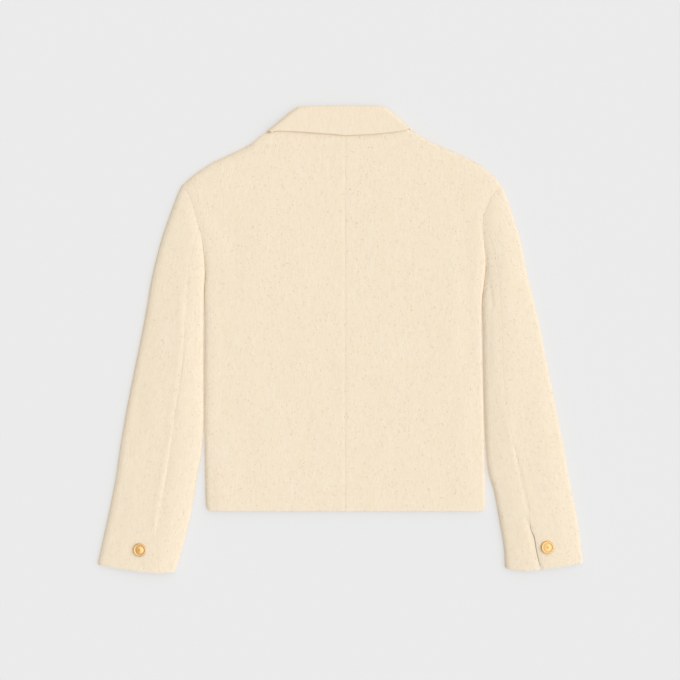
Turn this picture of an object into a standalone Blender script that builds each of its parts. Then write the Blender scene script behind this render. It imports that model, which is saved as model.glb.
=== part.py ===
"""A cropped boucle tweed jacket, laid flat on its fronts with its back up.

Plan sizes are millimetres: x from the centre back seam, y up from the hem, both on the
outer face of the cloth. Every panel is a wall of cloth: a plan grid of points is laid on
the lower or the upper layer, bent round at the garment's outline, and thickened to both
sides. Pieces that are sewn together end half a seam clearance from the seam line.
"""

import bpy
import numpy as np

MM = 0.001

# Cloth
CLOTH = 3.0  # tweed with what backs it
COLLAR_CLOTH = 2.6
SEAM = 0.3  # clearance between two pieces at a seam
FRONT_OPENING = 1.5  # between the two front edges

# The lay: how the upper layer rests on the lower one
BEND = 2.6  # radius of the middle of the wall where it turns under at the outline
NECK_BEND = 2.25
CROWN = 1.5  # how far the upper layer rises between its edges
CROWN_REACH = 42.0
CREASE = 1.0  # space between a sleeve and the body beside it
LOW = CLOTH / 2  # height of the middle of the lower wall
LEAF_ROOM = COLLAR_CLOTH + SEAM  # how far the fronts climb over the collar's leaf
NECK_HEIGHT = LOW + LEAF_ROOM + NECK_BEND  # height of the neck's fold
STAND_TO_LEAF = 3.1
TOP_OF_NECK = NECK_HEIGHT + NECK_BEND

# Neck and collar
NECK_CENTRE = (0.0, 600.0)
BACK_NECK = 589.0  # centre back, hem to the collar seam
FRONT_NECK = 500.0  # centre front, hem to the collar seam
ROLL = 613.6  # hem to the middle of the collar's fold
STAND_AT_SIDE = 30.0  # width of the stand at the side fold

# Sleeves
FRONT_SEAM_IN = 26.0  # the front seam, from the inner fold
VENT_TOP = -6.0  # an open vent begins at this height and is widest at the other one
VENT_END = -84.0
VENT_GAPE = 2.4

# How steeply the edges of the armhole seam turn down, by height above the hem
#  height, angle
SINK = (
    (336.0, 90.0),
    (388.0, 78.0),
    (430.0, 52.0),
    (494.0, 35.0),
)

# Outlines and seams of the two sides, a row for each point (x, y), from the shoulder down
LEFT = {
    "side": -1,
    "fold_corner": (-72.2, 616.9),
    "leaf_corner": (-121.6, 576.1),
    "leaf_along": 62.0,
    "shoulder": (
        (-144.4, 558.4),
        (-174.8, 543.2),
        (-205.2, 526.9),
        (-231.2, 507.5),
        (-249.7, 494.2),
    ),
    "armhole": (
        (-249.7, 494.2),
        (-238.8, 484.1),
        (-231.2, 464.8),
        (-224.8, 440.9),
        (-218.3, 419.2),
        (-214.9, 392.9),
        (-212.8, 362.5),
        (-214.3, 336.0),
    ),
    "side_seam": (
        (-214.3, 336.0),
        (-214.5, 245.0),
        (-214.5, 120.0),
        (-213.4, 40.0),
        (-211.6, 0.0),
    ),
    "inner_fold": (
        (-214.3, 336.0),
        (-214.5, 245.0),
        (-215.2, 180.0),
        (-216.0, 120.0),
        (-218.6, 87.0),
        (-225.0, 48.0),
        (-235.6, -13.0),
        (-250.8, -72.0),
        (-258.4, -93.5),
    ),
    "outer_fold": (
        (-249.7, 494.2),
        (-258.4, 473.5),
        (-279.7, 412.7),
        (-294.9, 351.9),
        (-305.5, 291.0),
        (-317.7, 230.3),
        (-329.8, 169.5),
        (-340.5, 108.7),
        (-349.6, 47.9),
        (-361.8, -12.9),
        (-377.0, -80.6),
    ),
    "back_seam": (
        (-222.7, 433.0),
        (-235.6, 379.0),
        (-241.7, 321.5),
        (-247.8, 215.0),
        (-257.3, 156.4),
        (-263.5, 107.0),
        (-272.5, 47.9),
        (-283.3, -3.8),
        (-286.0, -40.0),
        (-283.5, -92.2),
    ),
    "vent": 0.0,
    "button": (-311.8, -58.2),
    "button_lean": (0.0, 2.0),
}
RIGHT = {
    "side": 1,
    "fold_corner": (64.6, 614.9),
    "leaf_corner": (114.0, 570.3),
    "leaf_along": 50.0,
    "shoulder": (
        (129.2, 562.7),
        (172.7, 543.9),
        (194.6, 533.2),
        (215.8, 520.1),
        (240.2, 495.2),
    ),
    "armhole": (
        (240.2, 495.2),
        (222.6, 480.0),
        (217.2, 464.8),
        (210.5, 449.6),
        (209.0, 428.0),
        (211.3, 406.6),
        (214.0, 375.0),
        (211.0, 340.0),
    ),
    "side_seam": (
        (211.0, 340.0),
        (208.8, 320.0),
        (209.0, 285.0),
        (209.6, 250.0),
        (211.0, 180.0),
        (213.0, 105.0),
        (214.3, 40.0),
        (214.8, 0.0),
    ),
    "inner_fold": (
        (211.0, 340.0),
        (208.8, 320.0),
        (209.0, 285.0),
        (209.8, 250.0),
        (211.8, 180.0),
        (214.6, 105.0),
        (218.5, 60.0),
        (226.0, 30.0),
        (234.0, -12.9),
        (241.0, -55.0),
        (243.0, -86.0),
    ),
    "outer_fold": (
        (240.2, 495.2),
        (247.8, 473.5),
        (267.5, 412.7),
        (279.7, 351.9),
        (294.9, 291.0),
        (307.0, 230.3),
        (319.2, 169.5),
        (331.4, 108.7),
        (342.0, 47.9),
        (354.2, -12.9),
        (362.7, -78.3),
    ),
    "back_seam": (
        (214.0, 437.0),
        (229.0, 379.0),
        (235.6, 321.5),
        (240.0, 215.0),
        (244.3, 164.9),
        (255.4, 104.0),
        (271.5, 46.4),
        (279.0, 6.8),
        (282.3, -26.0),
        (290.9, -60.6),
        (297.5, -88.2),
    ),
    "vent": VENT_GAPE,
    "button": (307.0, -54.4),
    "button_lean": (-5.0, 6.0),
}

# The collar from the centre back round to the centre front
# Lower edge of the leaf across the back (x, y)
LEAF_BACK = (
    (-104.4, 578.0),
    (-68.4, 576.7),
    (-22.8, 573.4),
    (0.0, 571.4),
    (26.6, 572.3),
    (57.0, 574.6),
    (88.0, 578.5),
)
# Half of the front, at the fold, the collar seam and the leaf's edge, the sides alike
#  fold x, fold y, seam x, seam y, edge x, edge y
COLLAR_FRONT = (
    (62.0, 598.0, 84.0, 580.0, 113.0, 556.0),
    (42.0, 568.0, 64.0, 552.0, 95.0, 528.0),
    (22.0, 540.0, 40.0, 524.0, 72.0, 496.0),
    (2.0, 512.0, FRONT_OPENING / 2, FRONT_NECK, 38.0, 456.0),
)

# Where the pieces that meet at an armhole share a point, down from the shoulder point
ARMHOLE_STEPS = (0.0, 8.0, 18.0, 40.0)
FRONT_NOTCH = 28.0  # the front seam meets the armhole this far above the underarm
TIP = 4.0  # length of the first row of a piece that narrows to a point
SPLIT = 0.4  # half the gap between two sleeve pieces where they meet the armhole

# Distances from an edge at which a grid has its points, round the bend and beyond it
BEND_STEPS = tuple(BEND * (1 - np.cos(np.radians(a))) for a in (0, 30, 60, 90))
RIM = BEND_STEPS + (8.0, 22.0)
SUNK = (0.0, 1.2, 3.2, 7.0)
FLAT = (0.0,)

# Shares of the way from the side of the neck to the centre, back or front, where the collar and
# the panel under it share a point, and the collar's angles round its side fold
NECK_STATIONS = (0.0, 0.15, 0.4, 0.7, 1.0)
SIDE_FOLD = (90.0, 60.0, 30.0, 0.0, -30.0, -60.0, -90.0)
ROLL_STEPS = 5
SIDE_ROWS = 8
ARM_ROWS = 11
CAP_ROWS = 7
NECK_SHARE = 0.4  # the column of a body panel that ends where the neck meets the shoulder
SHOULDER = 190.0  # length of the shoulder seam, about
SHOULDER_STATIONS = (0.26, 0.44, 0.64, 0.82, 0.94)
# From the underarm to the outer fold and the back seam on its level
OUTER_LEVEL = (-84.0, 15.0)
BACK_LEVEL = (-30.0, 6.0)

# Button
BUTTON_STEPS = 24
BUTTON_ABOVE = 0.7  # the shank's foot, above the cloth
# Half of its section from the middle of the face out and back to the shank (radius, height)
BUTTON_SECTION = (
    (0.0, 5.3),
    (0.9, 5.2),
    (1.1, 4.7),
    (3.6, 4.5),
    (5.9, 3.9),
    (6.6, 3.6),
    (7.2, 4.1),
    (8.3, 4.5),
    (9.3, 4.2),
    (9.9, 3.3),
    (9.5, 2.4),
    (8.0, 1.9),
    (3.2, 1.5),
    (2.6, 0.0),
    (0.0, 0.0),
)


# Lines and grids in plan


def through(rows, spacing=3.0):
    """A smooth line through the rows: Catmull-Rom between them, as points about spacing apart."""
    p = np.array(rows, float)
    p = np.vstack((2 * p[0] - p[1], p, 2 * p[-1] - p[-2]))
    parts = []
    for a, b, c, d in zip(p[:-3], p[1:-2], p[2:-1], p[3:]):
        steps = max(2, int(np.linalg.norm(c - b) / spacing))
        t = np.linspace(0, 1, steps, endpoint=False)[:, None]
        bent = (2 * a - 5 * b + 4 * c - d) * t**2 + (3 * b - a - 3 * c + d) * t**3
        parts.append((2 * b + (c - a) * t + bent) / 2)
    return np.vstack(parts + [p[-2:-1]])


def lengths(line):
    """How far along the line each of its points is."""
    return np.concatenate(([0.0], np.cumsum(np.linalg.norm(np.diff(line, axis=0), axis=1))))


def along(line, places, at=None):
    """The line's values at places along it, measured by its own length or by the marks in at."""
    marks = lengths(line) if at is None else at
    return np.stack([np.interp(places, marks, line[:, k]) for k in range(2)], axis=1)


def shared(line, shares):
    """Points at these shares of the line's length."""
    return along(line, np.array(shares) * lengths(line)[-1])


def evenly(line, steps):
    return shared(line, np.linspace(0, 1, steps + 1))


def joined(*lines):
    """Lines end to end, each starting where the one before it ends."""
    return np.vstack([lines[0]] + [line[1:] for line in lines[1:]])


def closest(line, place):
    return np.linalg.norm(line - np.array(place), axis=1).argmin()


def split(line, place):
    """The two parts of a line, before and after its point closest to a place."""
    i = closest(line, place)
    return line[: i + 1], line[i:]


def left_of(line):
    """Unit normals on the line's left."""
    t = np.gradient(line, axis=0)
    t /= np.linalg.norm(t, axis=1, keepdims=True)
    return np.stack((-t[:, 1], t[:, 0]), axis=1)


def moved(line, by):
    """The line moved to its left by a distance, or by one for each point."""
    return line + left_of(line) * np.broadcast_to(by, len(line))[:, None]


def nearest(line, points):
    """For each point: distance to the line, the line's height there and its left normal."""
    start, step = line[:-1], np.diff(line, axis=0)
    gap = points[:, None] - start
    t = np.clip((gap * step).sum(2) / (step**2).sum(1), 0, 1)
    away = np.linalg.norm(gap - step * t[..., None], axis=2)
    i = away.argmin(1)
    t = t[np.arange(len(points)), i][:, None]
    normals = left_of(line)
    n = normals[i] * (1 - t) + normals[i + 1] * t
    n /= np.linalg.norm(n, axis=1, keepdims=True)
    return away.min(1), line[i, 1] + step[i, 1] * t[:, 0], n


def smooth(t):
    t = np.clip(t, 0, 1)
    return t * t * (3 - 2 * t)


def sink(height):
    """Angle and bend radius of a sunk seam at a height, such that the two layers just clear."""
    rows = np.array(SINK)
    angle = np.interp(height, rows[:, 0], np.radians(rows[:, 1]))
    return angle, (BEND - (CLOTH + SEAM) / 2 * np.cos(angle)) / (1 - np.cos(angle))


def across(a, b, from_a, from_b, middle=0):
    """A grid from line a to line b: points at set distances from each, and some between them."""
    width = np.linalg.norm(b - a, axis=1)
    fit = np.minimum(1, 0.8 * width / (from_a[-1] + from_b[-1]))
    near_a = [d * fit / width for d in from_a]
    near_b = [1 - d * fit / width for d in from_b[::-1]]
    step = (near_b[0] - near_a[-1]) / (middle + 1)
    between = [near_a[-1] + step * k for k in range(1, middle + 1)]
    return np.stack([a + (b - a) * f[:, None] for f in near_a + between + near_b])


def patch(left, right, low, high, u, v):
    """A grid between four rows of points that share their corners, at shares u across and v up."""
    u, v = np.array(u)[:, None, None], np.array(v)[None, :, None]
    corners = (1 - u) * ((1 - v) * left[0] + v * left[-1]) + u * ((1 - v) * right[0] + v * right[-1])
    return (1 - u) * left[None] + u * right[None] + (1 - v) * low[:, None] + v * high[:, None] - corners


# The lay


def climb(points):
    """How far the lower layer has climbed on to the collar's leaf, from 0 to 1."""
    away = (points - np.array(NECK_CENTRE)) / (135.0, 185.0)
    return smooth((1.14 - np.linalg.norm(away, axis=-1)) / 0.14)


def slope(points):
    """The same for the upper layer, which slopes up to the collar gently."""
    away = (points - np.array(NECK_CENTRE)) / (135.0, 120.0)
    return smooth((1.45 - np.linalg.norm(away, axis=-1)) / 0.75)


def laid(grid, rim, sunk, upper, clear=0.0):
    """Puts a plan grid on a layer.

    rim is the garment's outline, where the layer bends round to the other one in a quarter
    circle; sunk is the line of the armhole and the crease under it, where the edge sinks by
    the angle and radius that sink() gives. Both have the cloth on their left. clear is how
    far the layer ends from the height of the fold. Returns the points and the unit normals
    that point out of the garment.
    """
    shape = grid.shape[:2]
    plan = grid.reshape(-1, 2)
    up = 1 if upper else -1
    out, _, rim_normal = nearest(rim, plan)
    near, height, sunk_normal = nearest(sunk, plan)
    lift = climb(plan)
    bend = BEND + (NECK_BEND - BEND) * lift
    fold = LOW + LEAF_ROOM * lift + bend
    rise = bend
    if upper:
        raised = slope(plan)
        held = 1 - smooth((height - 336.0) / 150.0)
        crown = smooth(out / CROWN_REACH) * (1 - held * (1 - smooth(near / CROWN_REACH)))
        top = LOW + 2 * BEND + (TOP_OF_NECK - LOW - 2 * BEND) * raised + CROWN * crown * (1 - raised)
        rise = top - fold
    lean = np.clip(1 - out / bend, 0, 1)
    face = np.sqrt(1 - lean**2)
    normal = np.column_stack((-rim_normal * lean[:, None], up * face))
    points = np.column_stack((plan, fold + up * np.maximum(rise * face, 0.0)))

    angle, radius = sink(height)
    reach = radius * np.sin(angle)
    left = np.clip(reach - near, 0, None)
    depth = radius - np.sqrt(radius**2 - left**2)
    points -= normal * depth[:, None]
    points[:, 2] = fold + up * np.maximum(up * (points[:, 2] - fold), clear)
    tilt = left / radius
    aside = np.column_stack((-sunk_normal, np.zeros(len(plan))))
    normal = normal * np.sqrt(1 - tilt**2)[:, None] + aside * tilt[:, None]
    normal /= np.linalg.norm(normal, axis=1, keepdims=True)
    return points.reshape(*shape, 3), normal.reshape(*shape, 3)


# Making objects


def material(name, colour, roughness, metallic):
    m = bpy.data.materials.new(name)
    m.use_nodes = True
    shader = m.node_tree.nodes["Principled BSDF"]
    shader.inputs["Base Color"].default_value = (*colour, 1)
    shader.inputs["Roughness"].default_value = roughness
    shader.inputs["Metallic"].default_value = metallic
    return m


def quads_of(columns, rows, first):
    i, j = np.meshgrid(np.arange(columns - 1), np.arange(rows - 1), indexing="ij")
    a = (first + i * rows + j).ravel()
    return np.column_stack((a, a + rows, a + rows + 1, a + 1))


def add_object(name, points, faces, made_of, origin=(0, 0, 0)):
    mesh = bpy.data.meshes.new(name)
    mesh.from_pydata([tuple(p) for p in points * MM], [], [tuple(map(int, f)) for f in faces])
    mesh.materials.append(made_of)
    mesh.shade_smooth()
    mesh.set_sharp_from_angle(angle=np.radians(50))
    thing = bpy.data.objects.new(name, mesh)
    thing.location = origin
    bpy.context.scene.collection.objects.link(thing)
    return thing


def wall(name, grids, thickness, made_of):
    """One closed wall of cloth from grids of middle points and normals that share their edges."""
    points = np.vstack([p.reshape(-1, 3) for p, _ in grids])
    normals = np.vstack([n.reshape(-1, 3) for _, n in grids])
    starts = np.cumsum([0] + [p.shape[0] * p.shape[1] for p, _ in grids])
    quads = np.vstack([quads_of(*p.shape[:2], s) for (p, _), s in zip(grids, starts)])
    _, first, same = np.unique(np.round(points, 2), axis=0, return_index=True, return_inverse=True)
    points, normals, quads = points[first], normals[first], same.reshape(-1)[quads]

    outer = points + normals * thickness / 2
    inner = points - normals * thickness / 2
    a, b, c, d = outer[quads[:, :4]].transpose(1, 0, 2)
    facing = (np.cross(c - a, d - b) * normals[quads[:, 0]]).sum(1)
    if np.median(facing) < 0:
        quads = quads[:, ::-1]
    count = len(points)
    edges = np.vstack([quads[:, [k, (k + 1) % 4]] for k in range(4)])
    key = edges.min(1) * count + edges.max(1)
    _, index, uses = np.unique(key, return_index=True, return_counts=True)
    # The cut edge, in triangles whose diagonals run alike on both sides of a seam
    a, b = edges[index[uses == 1]].T
    a_first = (points[a, 1] > points[b, 1])[:, None]
    one = np.where(a_first, np.stack((b, a, b + count), 1), np.stack((b, a, a + count), 1))
    other = np.stack((np.where(a_first[:, 0], a, b), a + count, b + count), 1)
    faces = [*quads, *(quads[:, ::-1] + count), *one, *other]
    return add_object(name, np.vstack((outer, inner)), faces, made_of)


# The lines of one side, drawn for the left and mirrored for the right


def side_lines(table):
    """The working lines of one side: seams and folds in the middle of the wall."""
    flip = np.array((-table["side"], 1.0))
    rows = {k: np.array(v) * flip for k, v in table.items() if np.ndim(v) == 2}
    lines = {k: through(v) for k, v in rows.items()}

    corner, leaf = table["fold_corner"] * flip, table["leaf_corner"] * flip
    down = (leaf - corner) / np.linalg.norm(leaf - corner)
    outward = np.array((down[1], -down[0]))
    axis = corner - outward * (NECK_BEND + STAND_TO_LEAF + COLLAR_CLOTH / 2)
    lines["axis"] = (axis, down, outward)

    under = outward * (NECK_BEND + CLOTH / 2)
    lines["neck_corner"] = axis + down * STAND_AT_SIDE
    neck = lines["neck_corner"] + under
    leaf_end = axis + down * table["leaf_along"] + under
    shoulder = joined(np.array((neck, leaf_end)), through(np.vstack((leaf_end, rows["shoulder"]))))
    lines["shoulder"] = moved(shoulder, CLOTH / 2)
    lines["outer_fold"] = moved(lines["outer_fold"], CLOTH / 2)

    seam = lines["armhole"]
    total = lengths(seam)[-1]
    back = lengths(seam)[closest(seam, lines["back_seam"][0])]
    lower = np.linspace(back, total - FRONT_NOTCH, 4)
    marks = np.concatenate((ARMHOLE_STEPS, lower, [total]))
    nodes = along(seam, marks)
    nodes[0] = (lines["shoulder"][-1] + lines["outer_fold"][0]) / 2
    angle, _ = sink(nodes[:, 1])
    aside = along(left_of(seam), marks, lengths(seam)) * (CLOTH / 2 * np.sin(angle) + SEAM / 2)[:, None]
    lines["marks"] = marks
    lines["body_armhole"] = nodes + aside
    lines["sleeve_armhole"] = nodes - aside
    lines["shoulder"][-1] = lines["body_armhole"][0]
    lines["outer_fold"][0] = lines["sleeve_armhole"][0]
    return lines


def on_armhole(lines, side, places):
    """Points on the body's or the sleeve's edge at distances down from the shoulder point."""
    return along(lines[side + "_armhole"], places, lines["marks"])


def beside(lines, name, steps, side):
    """The side seam or the sleeve's inner fold below the underarm, half the crease to its side."""
    line = evenly(lines[name], steps)
    away = (CLOTH + SEAM) / 2 + (CREASE - SEAM) / 2 * smooth(np.linspace(0, 4, steps + 1))
    line = moved(line, side * away)
    line[0] = on_armhole(lines, "body" if side > 0 else "sleeve", lines["marks"][-1:])[0]
    return line


def mirrored(grids, table):
    """Grids drawn for the left side, put on the table's own side."""
    flip = np.array((-table["side"], 1.0, 1.0))
    return [(points * flip, normals * flip) for points, normals in grids]


# Body


def body_panel(lines, upper):
    """A back or front half, from the centre to the side and from the hem to the neck and shoulder."""
    marks = np.concatenate((BEND_STEPS, lines["marks"][1:]))[::-1]
    edge = joined(beside(lines, "side_seam", SIDE_ROWS, 1)[::-1], on_armhole(lines, "body", marks))
    v = lengths(edge) / lengths(edge)[-1]

    rim = lines["shoulder"]
    centre = -SEAM / 2 if upper else -FRONT_OPENING / 2
    neck = shared(moved(collar_seam(lines, upper), -SEAM / 2), NECK_STATIONS)[::-1]
    neck[0, 0] = centre
    over_neck = [NECK_SHARE * (1 - f) for f in NECK_STATIONS[:0:-1]] + [NECK_SHARE * 0.985]
    leaf_end = lengths(rim)[1] / lengths(rim)[-1]
    over_shoulder = (0.0, leaf_end) + SHOULDER_STATIONS + tuple(1 - d / SHOULDER for d in BEND_STEPS[::-1])
    u = np.concatenate((over_neck, NECK_SHARE + (1 - NECK_SHARE) * np.array(over_shoulder)))
    top = np.vstack((neck, shared(rim, over_shoulder)))
    hem = shared(np.array(((centre, 0.0), edge[0])), u)
    middle = shared(np.array(((centre, 0.0), neck[0])), v)
    return laid(patch(middle, edge, hem, top, u, v), rim, edge[::-1], upper, SEAM / 2)


def collar_seam(lines, upper):
    """The seam between a body panel and the collar's stand, from the side of the neck to the centre."""
    if upper:
        rows = ((-50.0, BACK_NECK + 1.5), (0.0, BACK_NECK))
    else:
        rows = [(-r[2], r[3]) for r in COLLAR_FRONT]
    return through(np.vstack((lines["neck_corner"], rows)))


def build_body(table, lines, name, cloth):
    for part, upper in (("back", True), ("front", False)):
        wall(f"{part}_{name}", mirrored([body_panel(lines, upper)], table), CLOTH, cloth)


# Sleeves


def build_sleeve(table, lines, name, cloth):
    """A two-piece sleeve: the top sleeve goes round the outer fold, the under sleeve round the inner."""
    marks = lines["marks"]
    back_mark, front_mark = marks[len(ARMHOLE_STEPS)], marks[-2]
    underarm = lines["armhole"][-1]
    rim = lines["outer_fold"]
    inner = beside(lines, "inner_fold", ARM_ROWS, -1)
    sunk = joined(lines["sleeve_armhole"], inner)[::-1]

    def edge(*places):
        return on_armhole(lines, "sleeve", places)

    # Folds and seams in two parts that meet beside the underarm
    back = np.vstack((edge(back_mark), lines["back_seam"][1:]))
    front = np.vstack((edge(front_mark), moved(inner, -FRONT_SEAM_IN)))
    outer_cap, outer_arm = split(rim, underarm + OUTER_LEVEL)
    back_cap, back_arm = split(back, underarm + BACK_LEVEL)
    outer = joined(evenly(outer_cap, CAP_ROWS), evenly(outer_arm, ARM_ROWS))
    back = joined(evenly(back_cap, CAP_ROWS - 3), evenly(back_arm, ARM_ROWS))
    gape = table["vent"] * smooth((VENT_TOP - back[:, 1]) / (VENT_TOP - VENT_END))

    over = joined(edge(*marks[1:4], back_mark - SPLIT), moved(back, -SEAM / 2 - gape))
    below = joined(edge(*marks[1:7], front_mark - SPLIT), moved(front, -SEAM / 2))
    top = (
        laid(across(over, outer, SUNK, RIM), rim, sunk, True),
        laid(across(outer, below, RIM, SUNK, 1), rim, sunk, False),
    )
    wall(f"top_sleeve_{name}", mirrored(top, table), CLOTH, cloth)

    seam = moved(back, SEAM / 2)
    seam[0] = edge(back_mark + SPLIT)[0]
    front_seam = moved(front, SEAM / 2)
    front_seam[0] = edge(front_mark + SPLIT)[0]
    cap = edge(back_mark + TIP, *marks[-4:])
    notch = edge(front_mark + TIP, marks[-1])
    under = (
        laid(across(seam, joined(cap, inner), FLAT, RIM), rim, sunk, True),
        laid(across(joined(notch, inner), front_seam, RIM[:-1], FLAT), rim, sunk, False),
    )
    wall(f"under_sleeve_{name}", mirrored(under, table), CLOTH, cloth)


# Collar


def collar_half(table, lines):
    """Half a turn-down collar, folded over at its roll and flattened round the neck.

    Its columns run from the centre back, round the side fold, to the centre front; its rows
    run from the collar seam up the stand, over the roll and down the leaf.
    """
    axis, down, outward = lines["axis"]
    roll_radius = STAND_TO_LEAF / 2
    leaf = sorted((x * -table["side"], y) for x, y in LEAF_BACK if x * table["side"] > 0)
    begins = (roll_radius + COLLAR_CLOTH / 2, STAND_AT_SIDE - SEAM, table["leaf_along"])
    ways = []
    for k, back in ((0, ((-62.0, ROLL - 0.4), (-34.0, ROLL), (0.0, ROLL))), (2, leaf + [LEAF_BACK[3]])):
        front = [(-r[2 * k], r[2 * k + 1]) for r in COLLAR_FRONT]
        ways.append([through(np.vstack((axis + down * begins[k], rows))) for rows in (back, front)])
    ways.insert(1, [moved(collar_seam(lines, upper), SEAM / 2) for upper in (True, False)])
    columns = []
    for begin, (to_back, to_front) in zip(begins, ways):
        side = np.repeat([axis + down * begin], len(SIDE_FOLD), axis=0)
        ends = [shared(way, NECK_STATIONS[1:]) for way in (to_back, to_front)]
        columns.append(np.vstack((ends[0][::-1], side, ends[1])))
    roll, seam, edge = columns

    flat = np.full(len(NECK_STATIONS) - 1, 90.0)
    turn = np.radians(np.concatenate((flat, SIDE_FOLD, -flat)))[:, None]
    beyond = roll - edge
    beyond /= np.linalg.norm(beyond, axis=1, keepdims=True)
    rows = [(seam + (roll - seam) * f, 0.0) for f in (0.0, 0.5)]
    for angle in np.radians(np.linspace(0, 180, ROLL_STEPS + 1)):
        rows.append((roll + beyond * roll_radius * np.sin(angle), roll_radius * (1 - np.cos(angle))))
    rows += [(roll + (edge - roll) * f, STAND_TO_LEAF) for f in (0.35, 0.7, 1.0)]
    grid = []
    for plan, level in rows:
        radius = NECK_BEND + level
        height = NECK_HEIGHT + radius * np.sin(turn)
        grid.append(np.hstack((plan + outward * radius * np.cos(turn), height)))
    return np.stack(grid, axis=1)


def grid_normals(points):
    """Unit normals of a grid of points, from its neighbours."""
    normal = np.cross(np.gradient(points, axis=0), np.gradient(points, axis=1))
    return normal / np.linalg.norm(normal, axis=2, keepdims=True)


def build_collar(sides, cloth):
    left, right = (collar_half(table, lines) for table, lines in sides)
    points = np.concatenate((left[::-1], (right * (-1, 1, 1))[1:]))
    wall("collar", [(points, grid_normals(points))], COLLAR_CLOTH, cloth)


# Buttons


def build_button(table, name, metal):
    """A domed shank button with a raised rim and a raised ring, turned from its section."""
    section = np.array(BUTTON_SECTION)
    angle = np.arange(BUTTON_STEPS) * 2 * np.pi / BUTTON_STEPS
    ring = np.stack((np.cos(angle), np.sin(angle)), axis=1)
    points = [np.insert(radius * ring, 2, height, axis=1) for radius, height in section[1:-1]]
    points = np.vstack(points + [(0, 0, section[0, 1]), (0, 0, section[-1, 1])])
    top, bottom = len(points) - 2, len(points) - 1
    last = top - BUTTON_STEPS
    faces = []
    for j in range(BUTTON_STEPS):
        k = (j + 1) % BUTTON_STEPS
        faces += [(top, j, k), (last + j, bottom, last + k)]
        for row in range(0, last, BUTTON_STEPS):
            below = row + BUTTON_STEPS
            faces.append((row + j, below + j, below + k, row + k))
    button = add_object(name, points, faces, metal)
    button.location = np.array((*table["button"], LOW + 2 * BEND + CROWN + CLOTH / 2 + BUTTON_ABOVE)) * MM
    button.rotation_euler = (*np.radians(table["button_lean"]), 0.0)
    return button


def stand_on_origin(things):
    """Hangs everything on an empty whose place puts the middle of the garment's base on the origin."""
    bpy.context.view_layer.update()
    corners = np.array([thing.matrix_world @ v.co for thing in things for v in thing.data.vertices])
    low, high = corners.min(0), corners.max(0)
    jacket = bpy.data.objects.new("jacket", None)
    jacket.location = (-(low[0] + high[0]) / 2, -(low[1] + high[1]) / 2, -low[2])
    bpy.context.scene.collection.objects.link(jacket)
    for thing in things:
        thing.parent = jacket


def main():
    for thing in list(bpy.data.objects):
        bpy.data.objects.remove(thing, do_unlink=True)

    cloth = material("cream_tweed", (0.90, 0.80, 0.62), 0.95, 0.0)
    gilt = material("gilt_brass", (0.83, 0.58, 0.25), 0.28, 1.0)
    sides = []
    for name, table in (("left", LEFT), ("right", RIGHT)):
        lines = side_lines(table)
        sides.append((table, lines))
        build_body(table, lines, name, cloth)
        build_sleeve(table, lines, name, cloth)
        build_button(table, f"button_{name}", gilt)
    build_collar(sides, cloth)
    stand_on_origin(list(bpy.data.objects))


main()
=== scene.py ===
"""The looks of a cropped boucle tweed jacket that lies on its fronts with its back up.

Lengths are millimetres in plan, x from the centre back seam and y up from the hem, and
become the frame's metres when a mesh is made. Each panel is a thin closed shell with the
form of its solid: a fine plan grid of points, laid on the lower or the upper layer, bent
round at the garment's outline and thickened to both sides.
"""

import bpy
import numpy as np
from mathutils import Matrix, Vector


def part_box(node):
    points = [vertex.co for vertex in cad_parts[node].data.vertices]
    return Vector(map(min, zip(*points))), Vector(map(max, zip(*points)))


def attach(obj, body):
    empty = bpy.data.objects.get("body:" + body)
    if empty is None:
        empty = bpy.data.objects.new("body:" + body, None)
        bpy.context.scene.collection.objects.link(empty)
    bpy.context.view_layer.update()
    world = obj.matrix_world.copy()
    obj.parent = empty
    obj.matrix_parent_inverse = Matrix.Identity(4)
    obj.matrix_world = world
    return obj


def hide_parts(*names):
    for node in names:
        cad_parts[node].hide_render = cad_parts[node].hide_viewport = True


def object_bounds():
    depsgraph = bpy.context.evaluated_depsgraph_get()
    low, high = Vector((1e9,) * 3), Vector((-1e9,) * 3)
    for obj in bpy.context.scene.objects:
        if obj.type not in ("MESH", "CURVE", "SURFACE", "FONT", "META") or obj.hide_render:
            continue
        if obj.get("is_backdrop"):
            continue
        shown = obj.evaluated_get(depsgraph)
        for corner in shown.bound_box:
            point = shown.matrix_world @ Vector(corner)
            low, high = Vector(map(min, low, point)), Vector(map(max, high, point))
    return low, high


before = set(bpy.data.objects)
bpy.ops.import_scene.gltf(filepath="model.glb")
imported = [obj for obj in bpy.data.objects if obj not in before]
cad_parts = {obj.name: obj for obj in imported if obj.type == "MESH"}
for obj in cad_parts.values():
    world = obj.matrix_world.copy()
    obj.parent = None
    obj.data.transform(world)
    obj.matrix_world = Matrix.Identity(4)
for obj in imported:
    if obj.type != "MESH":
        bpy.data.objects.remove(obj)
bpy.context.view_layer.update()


# The cut of the jacket
#
# The lines that the cloth was cut and folded along: shoulders, armholes, side seams and the
# folds that the sleeves were pressed flat on. Each side has its own, because the two sleeves
# were laid down by hand and the right one lies a little closer to the body.

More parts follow.
